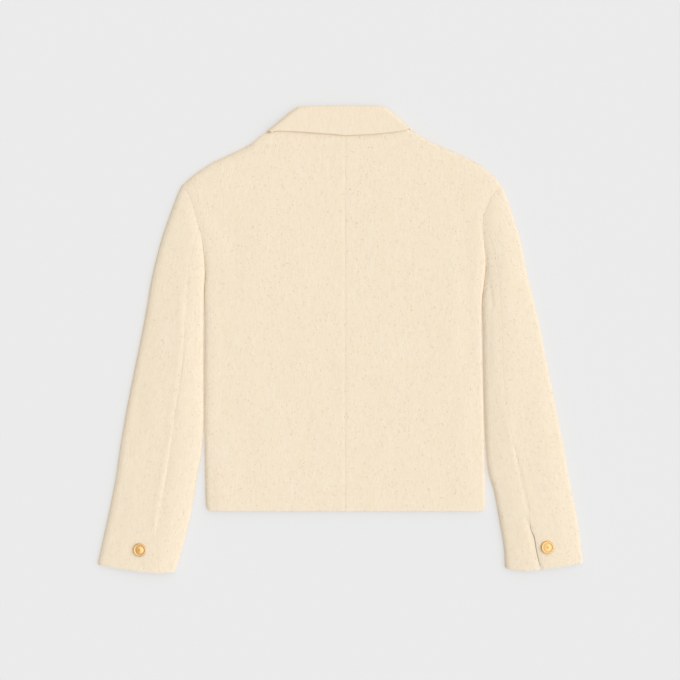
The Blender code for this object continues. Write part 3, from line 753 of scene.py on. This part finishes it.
def loops(name, places, random):
    """Loops of yarn that arch out of the cloth, all in one mesh.

    Seen from outside each is three quarters of an ellipse, begun anywhere on it. It rises and
    falls by sin(pi t) for t from 0 to 1, and its section is three-sided.
    """
    points, normals, warp, uv = (np.vstack(part) for part in zip(*places))
    count = len(points)
    side = np.cross(normals, warp)
    begin = random.uniform(0, 2 * np.pi, (count, 1))
    wide = LOOP_RADIUS * random.uniform(*LOOP_WIDTHS, (count, 1))
    long = wide * random.uniform(*LOOP_LENGTHS, (count, 1))
    height = LOOP_HEIGHT * random.uniform(*LOOP_HEIGHTS, (count, 1))
    rings = []
    for t in np.linspace(0, 1, LOOP_RINGS):
        angle = begin + LOOP_TURN * np.pi * t
        rise = height * np.sin(np.pi * t) - LOOP_YARN / 2
        middle = points + warp * long * np.cos(angle) + side * wide * np.sin(angle)
        middle += normals * rise
        run = (side * wide * np.cos(angle) - warp * long * np.sin(angle)) * LOOP_TURN
        run += normals * height * np.cos(np.pi * t)
        beside_it = unit(np.cross(run, normals))
        out = unit(np.cross(beside_it, run))
        for around in np.radians(LOOP_CORNERS):
            from_middle = out * np.sin(around) + beside_it * np.cos(around)
            rings.append(middle + LOOP_YARN / 2 * from_middle)
    rings = np.stack(rings, axis=1)
    corners = len(LOOP_CORNERS)
    ring, corner = np.meshgrid(np.arange(LOOP_RINGS - 1), np.arange(corners), indexing="ij")
    a = (corners * ring + corner).ravel()
    b = (corners * ring + (corner + 1) % corners).ravel()
    quads = np.column_stack((a, b, b + corners, a + corners))
    each = corners * LOOP_RINGS
    quads = (quads + each * np.arange(count)[:, None, None]).reshape(-1, 4)
    return add_mesh(name, rings.reshape(-1, 3), quads, np.repeat(uv, each, axis=0), TWEED_MATERIAL)


def dress(name, grids, thickness, seed):
    """A cloth piece in place of its solid, with the loops that stand on its shown faces.
    """
    random = np.random.default_rng(seed)
    piece = shell(name + "_cloth", grids, thickness)
    pieces = [piece]
    shown = [grid for grid in grids if grid["shown"]]
    if shown:
        places = [on_face(grid, thickness, random) for grid in shown]
        pieces.append(loops(name + "_loops", places, random))
    for part in pieces:
        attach(part, "root")
    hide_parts(name)


def placed(points, normals, uv, edges, shown, table, creases, seed):
    """A grid drawn for the left, put on the table's own side and creased if it shows."""
    flip = np.array((-table["side"], 1.0, 1.0))
    points, normals, uv = points * flip, normals * flip, uv * flip[:2] + UV_APART * seed
    if shown:
        points = relieved(points, normals, creases)
    return {"points": points, "normals": normals, "uv": uv, "edges": edges, "shown": shown}


# The body: two backs and two fronts
#
# The backs are joined by a plain seam down the centre back, pressed open, and turn over the
# shoulders to the fronts. A narrow turn-up holds the hem. There are no darts: the cloth is
# eased into the armholes, which leaves soft hollows beside them.

NECK_SHARE = 0.4  # of the hem's width lies below the neck
STAND_SHARE = 0.015  # of it below the short edge beside the collar's stand
BACK_NECK = ((-50.0, 590.5), (0.0, 589.0))  # the collar's seam up to the centre back
FRONT_NECK = 500.0
FRONT_OPENING = 1.5
SHOULDER_STEPS = 1.3  # times the spacing, as the shoulder spreads
LEAST_TURN = 0.1  # this share of the edge beside the stand has no points of its fold
HEM_CORNER = 7.0  # radius of the hem's corners at the side seams

# Half of the collar's front, at the fold, the collar seam and the leaf's edge
#  fold x, fold y, seam x, seam y, edge x, edge y
COLLAR_FRONT = (
    (62.0, 598.0, 84.0, 580.0, 113.0, 556.0),
    (42.0, 568.0, 64.0, 552.0, 95.0, 528.0),
    (22.0, 540.0, 40.0, 524.0, 72.0, 496.0),
    (2.0, 512.0, FRONT_OPENING / 2, FRONT_NECK, 38.0, 456.0),
)

#  x0, y0, x1, y1, bow, width, depth
CENTRE_SEAM = (-0.5, 560, -0.5, 4, 0, 2.6, -0.2)
BACK_CREASES = {
    "left": (
        (-200, 300, -203, 120, 2, 9, 0.5),
        (-172, 400, -178, 150, -6, 22, -0.6),
        (-150, 130, -160, 20, 4, 16, -0.5),
        (-196, 90, -190, 8, 0, 10, 0.5),
        (-206, 455, -168, 400, 5, 10, -0.4),
        (-108, 572.5, 8, 567.0, 1.5, 4.0, -0.6),
        CENTRE_SEAM,
    ),
    "right": (
        (198, 400, 201, 230, -3, 8, 0.5),
        (182, 410, 186, 220, 4, 14, -0.7),
        (176, 150, 190, 30, -5, 18, 0.4),
        (212, 463, 176, 415, -5, 11, -0.5),
        (96, 572.5, -8, 567.0, -1.5, 4.0, -0.6),
        CENTRE_SEAM,
    ),
}


def collar_seam(lines, upper):
    """The seam between a body panel and the collar's stand, from the neck's side to its centre."""
    rows = BACK_NECK if upper else [(-r[2], r[3]) for r in COLLAR_FRONT]
    return through(np.vstack((lines["neck_corner"], rows)))


def body_panel(table, lines, upper, spacing):
    """A back or front half: a Coons grid from centre to side and from hem to neck and shoulder."""
    seam = lengths(lines["side_seam"])[-1]
    down = steps(seam, spacing, (0.0,), CUT)
    arm = steps(lines["marks"][-1], spacing, FOLD, (0.0,))
    side_seam = beside(lines, "side_seam", down / seam, 1)
    edge = joined(side_seam[::-1], on_armhole(lines, "body", arm[::-1]))
    v = lengths(edge) / lengths(edge)[-1]

    rim = lines["shoulder"]
    outline = np.vstack((rim, lines["outer_fold"][1:]))
    centre = -SEAM / 2 if upper else -FRONT_OPENING / 2
    width = centre - edge[0, 0]
    inside = NECK_SHARE - STAND_SHARE
    neck_u = steps(inside * width, spacing, CUT) / width
    neck_line = moved(collar_seam(lines, upper), -SEAM / 2)[::-1]
    neck = shared(neck_line, neck_u / inside)
    neck[0, 0] = centre
    stretch = np.linalg.norm(rim[0] - neck[-1])
    turn = 1 - np.array(FOLD[-2:0:-1]) / stretch
    turn = turn[turn > LEAST_TURN]
    beside_stand = neck[-1] + (rim[0] - neck[-1]) * turn[:, None]
    shoulder = lengths(rim)[-1]
    over = steps(shoulder, spacing * SHOULDER_STEPS, (0.0,), FOLD) / shoulder
    u = np.concatenate((neck_u, inside + STAND_SHARE * turn, NECK_SHARE + (1 - NECK_SHARE) * over))
    top = np.vstack((neck, beside_stand, shared(rim, over)))
    hem = shared(np.array(((centre, 0.0), edge[0])), u)
    middle = shared(np.array(((centre, 0.0), neck[0])), v)
    plan = rounded(patch(middle, edge, hem, top, u, v), hem[-1], HEM_CORNER)
    form = (table["roll_off"], table["body"], SEAM / 2)
    return *laid(plan, outline, edge[::-1], upper, *form), plan


BODY_EDGES = {"first": "seam", "low": "hem", "high": "seam"}
for seed, (table, lines) in enumerate(SIDES, 1):
    side = table["name"]
    panel = body_panel(table, lines, True, FINE)
    back = placed(*panel, BODY_EDGES, True, table, BACK_CREASES[side], seed)
    dress(f"back_{side}", [back], CLOTH, seed)
    panel = body_panel(table, lines, False, COARSE)
    front = placed(*panel, BODY_EDGES, False, table, (), seed + 2)
    dress(f"front_{side}", [front], CLOTH, seed)


# The sleeves
#
# Two-piece sleeves, pressed flat: the top sleeve goes round the outer fold and the narrow
# under sleeve round the inner one. The back seam between them runs down to a vent at the
# cuff, which has opened on the right sleeve and lies shut on the left.

FRONT_SEAM_IN = 26.0
VENT_TOP = -6.0
VENT_OPENS = 34.0  # over this length below its top
OUTER_LEVEL = (-84.0, 15.0)  # from the underarm to the outer fold on its level
BACK_LEVEL = (-30.0, 6.0)  # and to the back seam
CAP_BACK = 14  # rows of the cap down to the back seam's top
CAP_FRONT = 24  # and from there to the underarm
ARM_ROWS = 210
CAP_BEGINS = 8.0  # the first row meets the armhole's seam this far below the shoulder point
SPLIT = 0.15  # half the gap between two sleeve pieces where they meet the armhole
TIP = 4.0  # how wide the under sleeve's first rows are
TOP_COLUMNS = 20
UNDER_COLUMNS = 8
FRONT_COLUMNS = 3
FRONT_CUT = (0.0, 1.4)  # the same as CUT, for the front seam
INSIDE = (5.0,)  # the top sleeve has one more point, this far from its seams

# Where a cuff's hem hangs in a bow, which fades in below a level and over a length
CUFF_TOP = -50.0
CUFF_OVER = 24.0
#  from the centre back: begin, end; depth
CUFF_BOWS = {
    "left": ((258.4, 377.0, 2.8),),
    "right": ((243.0, 297.5, 3.5), (297.5, 362.7, 0.7)),
}

#  x0, y0, x1, y1, bow, width, depth
SLEEVE_CREASES = {
    "left": (
        (-262, 130, -290, -20, -2, 5, 0.7),
        (-250, 330, -258, 160, 2, 8, 0.5),
        (-226, 400, -222, 250, 2, 6, 0.5),
        (-296, 330, -318, 120, -3, 14, -0.6),
        (-238, 350, -258, 150, 2.5, 3.2, -0.5),
        (-258, 150, -285, -30, 1.0, 3.2, -0.5),
        (-322, 40, -340, -60, 2, 10, 0.4),
        (-225, 200, -228, 90, 2, 7, 0.4),
        (-311.8, -58.2, -311.7, -58.0, 0, 13, -0.6),
    ),
    "right": (
        (246, 150, 262, 60, -2, 5, 0.4),
        (224, 330, 226, 200, 2, 6, 0.4),
        (262, 330, 282, 160, 4, 15, -0.4),
        (300, 150, 322, 20, 3, 16, 0.4),
        (230, 500, 224, 492, 0, 9, -0.6),
        (300, -20, 306, -40, 1, 6, 0.3),
        (258.0, 95.0, 278.0, 4.0, -1.0, 2.6, -0.7),
        (275.0, -9.0, 279.5, -24.0, 0.5, 2.6, -1.0),
        (281.0, -24.0, 298.0, -90.0, -1.0, 4.2, -1.3),
        (213.5, 372.0, 224.0, 312.0, 1.5, 3.0, -0.8),
        (307.0, -54.4, 307.1, -54.2, 0, 12, -0.6),
    ),
}


def split(line, place):
    """The two parts of a line, before and after its point closest to a place."""
    i = np.linalg.norm(line - np.array(place), axis=1).argmin()
    return line[: i + 1], line[i:]


def warp_lines(points, fold):
    """Cloth coordinates of a sleeve grid: across it from the fold, 0 or -1, and down it."""
    run = runs(points, 0)
    down = np.broadcast_to(-lengths(points[fold]), run.shape)
    return np.stack((run - run[fold], down), axis=2)


def cuff_bow(plan, side):
    """How far points lie below the cuff's straight line: depth 4s(1 - s) at s across a bow."""
    bow = 0.0
    for begin, end, depth in CUFF_BOWS[side]:
        s = np.clip((-plan[..., 0] - begin) / (end - begin), 0, 1)
        bow = bow + depth * 4 * s * (1 - s)
    return bow * smooth((CUFF_TOP - plan[..., 1]) / CUFF_OVER)


def sleeve_grids(table, lines):
    """A sleeve's plan grids: the top sleeve's two layers, then the under sleeve's."""
    back_mark, front_mark, end = lines["back_mark"], lines["front_mark"], lines["marks"][-1]
    underarm = lines["armhole"][-1]
    rim = lines["outer_fold"]
    outline = np.vstack((lines["shoulder"], rim[1:]))
    inner = beside(lines, "inner_fold", np.linspace(0, 1, ARM_ROWS + 1), -1)
    sunk = joined(lines["sleeve_armhole"], inner)[::-1]

    def edge(places):
        return on_armhole(lines, "sleeve", places)

    outer_cap, outer_arm = split(rim, underarm + OUTER_LEVEL)
    outer = joined(evenly(outer_cap, CAP_BACK + CAP_FRONT - 2), evenly(outer_arm, ARM_ROWS))
    back = np.vstack((edge([back_mark]), lines["back_seam"][1:]))
    back_cap, back_arm = split(back, underarm + BACK_LEVEL)
    back = joined(evenly(back_cap, CAP_FRONT - 1), evenly(back_arm, ARM_ROWS))
    gape = table["vent"] * smooth((VENT_TOP - back[:, 1]) / VENT_OPENS)
    front_arm = moved(inner, -FRONT_SEAM_IN)
    notch = CAP_FRONT // 2
    front = joined(evenly(np.vstack((edge([front_mark]), front_arm[0])), notch), front_arm)

    over_cap = edge(np.linspace(CAP_BEGINS, back_mark - SPLIT, CAP_BACK))
    over = np.vstack((over_cap, moved(back, -SEAM / 2 - gape)[1:]))
    cap_rows = CAP_BACK + CAP_FRONT - 1 - notch
    below_cap = edge(np.linspace(CAP_BEGINS, front_mark - SPLIT, cap_rows))
    below = np.vstack((below_cap, moved(front, -SEAM / 2)[1:]))
    seam = moved(back, SEAM / 2)
    seam[0] = edge([back_mark + SPLIT])[0]
    cap = edge(np.linspace(back_mark + TIP, end, CAP_FRONT))
    front_seam = moved(front, SEAM / 2)
    front_seam[0] = edge([front_mark + SPLIT])[0]
    notched = edge(np.linspace(front_mark + TIP, end, notch + 1))
    plans = (
        across(over, outer, CUT + INSIDE, FOLD, TOP_COLUMNS),
        across(outer, below, FOLD, FRONT_CUT + INSIDE, TOP_COLUMNS // 2),
        across(seam, joined(cap, inner), CUT, FOLD, UNDER_COLUMNS),
        across(joined(notched, inner), front_seam, FOLD, FRONT_CUT, FRONT_COLUMNS),
    )
    return plans, outline, sunk


for seed, (table, lines) in enumerate(SIDES, 5):
    side = table["name"]
    plans, rim, sunk = sleeve_grids(table, lines)
    made = []
    for k, plan in enumerate(plans):
        upper = k % 2 == 0
        plan[..., 1] -= cuff_bow(plan, side)
        points, normals = laid(plan, rim, sunk, upper, table["roll_off"], table["sleeve"])
        fold, seam_end = (-1, "first") if upper else (0, "last")
        layer = (points, normals, warp_lines(points, fold), {seam_end: "seam", "high": "hem"})
        piece_seed = seed + 2 * (k > 1)
        made.append(placed(*layer, upper, table, SLEEVE_CREASES[side], piece_seed))
    dress(f"top_sleeve_{side}", made[:2], CLOTH, seed)
    dress(f"under_sleeve_{side}", made[2:], CLOTH, seed + 2)


# The collar
#
# A turn-down collar whose stand is cut in one with its leaf. It is sewn to the neck, folded
# over at its roll, and flattened with the neck when the jacket was laid down.

ROLL_BACK = ((-58.0, 613.5), (-34.0, 613.6), (0.0, 613.6))
LEAF_CENTRE = (0.0, 571.4)
LEAF_BACK = (
    (-104.4, 578.0), (-68.4, 576.7), (-22.8, 573.4), (26.6, 572.3), (57.0, 574.6),
    (88.0, 578.5),
)
BACK_STATIONS = 42
FRONT_STATIONS = 20
TURN_STEP = 12.0  # degrees, round the side fold
STAND_ROWS = 9
ROLL_ROWS = 11
LEAF_ROWS = 18  # and these, as shares of the leaf
LEAF_END = (0.965, 0.985, 0.995, 1.0)
SKEW = 5.0  # round the side fold its roll and its edge run this far down to each side
LEAF_CURL = 0.8  # how far the leaf's edge stands off the cloth under it, in its last third
CORNER_REACH = 13.0  # the cloth is eased this far round the corner of its fold and its roll
EASING = (0.5, 1.3)  # a step's share, and where it has faded out, in reaches
EASINGS = 30


def collar_half(table, lines):
    """Half a collar: columns from the centre back round the side fold to the centre front.

    Its rows run from the collar seam up the stand, over the roll in a half circle and down the
    leaf. Round the side fold the rows turn in half circles of the neck's bend and their level.
    """
    axis, down, outward = lines["axis"]
    roll_radius = STAND_TO_LEAF / 2
    leaf = sorted((x * -table["side"], y) for x, y in LEAF_BACK if x * table["side"] > 0)
    begins = (roll_radius + COLLAR_CLOTH / 2, STAND_AT_SIDE - SEAM, table["leaf_along"])
    skews = (SKEW, 0.0, SKEW)
    ways = []
    for k, back in ((0, ROLL_BACK), (2, leaf + [LEAF_CENTRE])):
        front = [(-r[2 * k], r[2 * k + 1]) for r in COLLAR_FRONT]
        starts = (axis + down * (begins[k] - skews[k]), axis + down * (begins[k] + skews[k]))
        ways.append([through(np.vstack(parts)) for parts in zip(starts, (back, front))])
    ways.insert(1, [moved(collar_seam(lines, upper), SEAM / 2) for upper in (True, False)])
    turns = np.arange(90.0, -91.0, -TURN_STEP)
    columns = []
    for begin, skew, (to_back, to_front) in zip(begins, skews, ways):
        side = axis + down * (begin - skew * np.sin(np.radians(turns)))[:, None]
        backs = shared(to_back, np.linspace(0, 1, BACK_STATIONS)[1:])
        fronts = shared(to_front, np.linspace(0, 1, FRONT_STATIONS)[1:])
        columns.append(np.vstack((backs[::-1], side, fronts)))
    roll, seam, edge = columns

    turn = np.pad(turns, (BACK_STATIONS - 1, FRONT_STATIONS - 1), "edge")
    turn = np.radians(turn)[:, None]
    beyond = unit(roll - edge)
    rows = [(seam + (roll - seam) * f, 0.0) for f in np.linspace(0, 1, STAND_ROWS + 1)[:-1]]
    for angle in np.radians(np.linspace(0, 180, ROLL_ROWS)):
        level = roll_radius * (1 - np.cos(angle))
        rows.append((roll + beyond * roll_radius * np.sin(angle), level))
    curl = LEAF_CURL * np.clip(np.sin(turn), 0, 1)
    for f in (*np.linspace(0, 1, LEAF_ROWS + 2)[1:-1], *LEAF_END):
        rows.append((roll + (edge - roll) * f, STAND_TO_LEAF + curl * smooth(3 * f - 2)))
    grid = []
    for plan, level in rows:
        radius = NECK_BEND + level
        height = NECK_HEIGHT + radius * np.sin(turn)
        grid.append(np.hstack((plan + outward * radius * np.cos(turn), height)))
    return eased(np.stack(grid, axis=1), axis)


def eased(points, corner):
    """The grid with the corner of the collar rounded: points there drawn to their neighbours."""
    away = np.linalg.norm(points[1:-1, 1:-1, :2] - corner, axis=2)
    most, faded = EASING
    share = most * smooth(faded - away / CORNER_REACH)[..., None]
    for _ in range(EASINGS):
        around = points[:-2, 1:-1] + points[2:, 1:-1] + points[1:-1, :-2] + points[1:-1, 2:]
        points[1:-1, 1:-1] += share * (around / 4 - points[1:-1, 1:-1])
    return points


halves = [collar_half(table, lines) for table, lines in SIDES]
points = np.concatenate((halves[0][::-1], (halves[1] * (-1, 1, 1))[1:]))
normals = unit(np.cross(np.gradient(points, axis=0), np.gradient(points, axis=1)))
uv = np.stack((points[..., 0], runs(points, 1)), axis=2)
edges = {"first": "hem", "last": "hem", "low": "seam", "high": "hem"}
collar = {"points": points, "normals": normals, "uv": uv, "edges": edges, "shown": True}
dress("collar", [collar], COLLAR_CLOTH, 9)


# The cuff buttons
#
# Gilt brass shank buttons, stamped from sheet: a rolled rim, a smooth bowl inside it and a low
# dome with a small boss at the middle. Each is sewn on by its shank, beside the vent.

BUTTON_RINGS = (
    (0.0, 5.45), (0.45, 5.42), (0.85, 5.25), (1.05, 4.95), (1.5, 4.85), (2.6, 4.75),
    (4.0, 4.45), (5.2, 4.2), (6.0, 4.0), (6.5, 3.92), (6.9, 3.95), (7.25, 4.15), (7.8, 4.45),
    (8.5, 4.58), (9.2, 4.4), (9.7, 3.9), (9.9, 3.3), (9.75, 2.7), (9.2, 2.25), (8.0, 1.9),
    (5.0, 1.6), (3.2, 1.4), (2.6, 1.0), (2.4, 0.0), (0.0, 0.0),
)
BUTTON_ROUND = 72
#   radius, width, how dark the painted shade is
PAINTED_SHADE_RINGS = ((6.4, 1.0, 1.0), (0.0, 2.2, 0.9))
GILT = "#E6C18A"
# the colour of the painted shade
GILT_SHADE = "#D8A862"
WEAR_PER_METRE = 900.0  # blotches
WEAR_ROUGHNESS = (0.4, 0.55)
WEAR_RELIEF = 0.05
WEAR_BUMP = 0.15


def gilt_material():
    """Gilt brass, stamped and polished: a warm mirror, a little dulled, with painted shade in bowl
    and boss.
    """
    made, tree = new_material("gilt_brass")
    place = add_node(tree, "TexCoord")["Object"]
    inputs = {"Vector": place, "Scale": WEAR_PER_METRE, "Detail": 3.0}
    wear = add_node(tree, "TexNoise", inputs=inputs)["Fac"]
    painted_shade = add_node(tree, "Attribute", attribute_name="painted_shade")["Fac"]
    shades = (linear(GILT), linear(GILT_SHADE))
    colour = add_node(tree, "MixRGB", painted_shade, *shades)["Color"]
    rough = add_node(tree, "MapRange", wear, 0.0, 1.0, *WEAR_ROUGHNESS)["Result"]
    relief = {"Strength": WEAR_BUMP, "Distance": WEAR_RELIEF * MM, "Height": wear}
    bump = add_node(tree, "Bump", inputs=relief)["Normal"]
    finished(tree, {"Metallic": 1.0, "Base Color": colour, "Roughness": rough, "Normal": bump})
    return made


GILT_MATERIAL = gilt_material()


def button(name, lean):
    """A disc turned from its section: radius times cosine and sine, leaned about X and Y."""
    low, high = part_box(name)
    centre = np.array((low + high) / 2) / MM
    section = np.array(BUTTON_RINGS)
    angle = np.linspace(0, 2 * np.pi, BUTTON_ROUND, endpoint=False)
    ring = np.column_stack((np.cos(angle), np.sin(angle), np.zeros(BUTTON_ROUND)))
    radii, heights = section[1:-1, :, None, None].transpose(1, 0, 2, 3)
    rings = radii * ring + heights * np.array((0, 0, 1))
    points = np.vstack((rings.reshape(-1, 3), (0, 0, section[0, 1]), (0, 0, section[-1, 1])))
    points[:, 2] -= section[:, 1].max() / 2
    x, y = np.radians(lean)
    turn_x = np.array(((1, 0, 0), (0, np.cos(x), -np.sin(x)), (0, np.sin(x), np.cos(x))))
    turn_y = np.array(((np.cos(y), 0, np.sin(y)), (0, 1, 0), (-np.sin(y), 0, np.cos(y))))
    points = points @ (turn_y @ turn_x).T + centre
    rows = len(section) - 2
    k = np.arange(BUTTON_ROUND)
    after = (k + 1) % BUTTON_ROUND
    base = BUTTON_ROUND * np.arange(rows - 1)[:, None]
    below = base + BUTTON_ROUND
    quads = np.stack((base + k, below + k, below + after, base + after), axis=2)
    top, bottom = len(points) - 2, len(points) - 1
    last = BUTTON_ROUND * (rows - 1)
    faces = quads.reshape(-1, 4).tolist()
    faces += [[top, int(a), int(b)] for a, b in zip(k, after)]
    faces += [[last + int(a), bottom, last + int(b)] for a, b in zip(k, after)]
    mesh = bpy.data.meshes.new(name + "_face")
    mesh.from_pydata((points * MM).tolist(), [], faces)
    painted_shade = mesh.attributes.new("painted_shade", "FLOAT", "POINT")
    # Painted shade: darker in a ring in the bowl and on the boss in the middle
    radius = np.append(np.repeat(section[1:-1, 0], BUTTON_ROUND), (0.0, 0.0))
    painted_dark = sum(dark * np.exp(-(((radius - at) / wide) ** 2)) for at, wide, dark in PAINTED_SHADE_RINGS)
    painted_shade.data.foreach_set("value", np.clip(painted_dark, 0, 1).astype(np.float32))
    mesh.materials.append(GILT_MATERIAL)
    mesh.shade_smooth()
    piece = add_object(name + "_face", mesh)
    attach(piece, "root")
    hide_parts(name)


button("button_left", (0.0, 2.0))
button("button_right", (-5.0, 6.0))


# The floor, the light and the camera
#
# A floor of matt grey paper with a light behind it, a broad soft light from the right and a pale
# room. The camera looks straight down from far off, so that nothing leans.

FLOOR = "#A0A0A0"
FLOOR_GLOW = 0.459  # the light behind it that comes through
FLOOR_HALF = 6.0  # metres
FLOOR_LEVEL = -0.0003  # metres, just clear of the cloth
LIGHT_FROM = (0.5, 0.0, 0.86)  # toward its middle
LIGHT_WIDTH = 70.0  # degrees across, so its shadows are soft
LIGHT_STRENGTH = 1.27
ROOM = 0.555  # radiance of the pale room at its mean
ROOM_LIGHTEST = (0.7, 0.1, 0.6)  # toward its lightest part
ROOM_SLOPE = 0.65  # how much lighter it is there, and darker opposite
CAMERA_HEIGHT = 3.0  # metres
FRAME_WIDTH = 1033.6  # at half the cloth's height
FRAME_CENTRE = (-7.6, 260.7)

floor_mesh = bpy.data.meshes.new("floor")
square = ((-1, -1), (1, -1), (1, 1), (-1, 1))
corners = [(x * FLOOR_HALF, y * FLOOR_HALF, FLOOR_LEVEL) for x, y in square]
floor_mesh.from_pydata(corners, [], [(0, 1, 2, 3)])
floor_material, tree = new_material("matt_paper")
inputs = {"Base Color": linear(FLOOR), "Roughness": 0.9, "Specular IOR Level": 0.0}
inputs |= {"Emission Color": (1, 1, 1, 1), "Emission Strength": FLOOR_GLOW}
finished(tree, inputs)
floor_mesh.materials.append(floor_material)
add_object("floor", floor_mesh)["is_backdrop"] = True

light_data = bpy.data.lights.new("broad_light", "SUN")
light_data.angle = np.radians(LIGHT_WIDTH)
light_data.energy = LIGHT_STRENGTH
light = add_object("broad_light", light_data)
light.rotation_euler = (-Vector(LIGHT_FROM)).to_track_quat("-Z", "Y").to_euler()

world = bpy.data.worlds.new("pale_room")
world.use_nodes = True
tree = world.node_tree
direction = add_node(tree, "TexCoord")["Generated"]
lightest = Vector(ROOM_LIGHTEST).normalized()
toward = add_node(tree, "VectorMath", direction, lightest, operation="DOT_PRODUCT")
levels = (1 - ROOM_SLOPE, 1 + ROOM_SLOPE)
level = add_node(tree, "MapRange", toward["Value"], -1.0, 1.0, *levels)["Result"]
strength = add_node(tree, "Math", level, ROOM, operation="MULTIPLY")[0]
background = tree.nodes["Background"]
background.inputs["Color"].default_value = (1, 1, 1, 1)
tree.links.new(strength, background.inputs["Strength"])
bpy.context.scene.world = world
bpy.context.scene.view_settings.view_transform = "Standard"

camera_data = bpy.data.cameras.new("camera")
half_angle = np.arctan(FRAME_WIDTH / 2 * MM / (CAMERA_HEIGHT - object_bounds()[1].z / 2))
camera_data.lens = camera_data.sensor_width / 2 / np.tan(half_angle)
camera = add_object("camera", camera_data)
camera.location = (*(ORIGIN[:2] + FRAME_CENTRE) * MM, CAMERA_HEIGHT)
bpy.context.scene.camera = camera
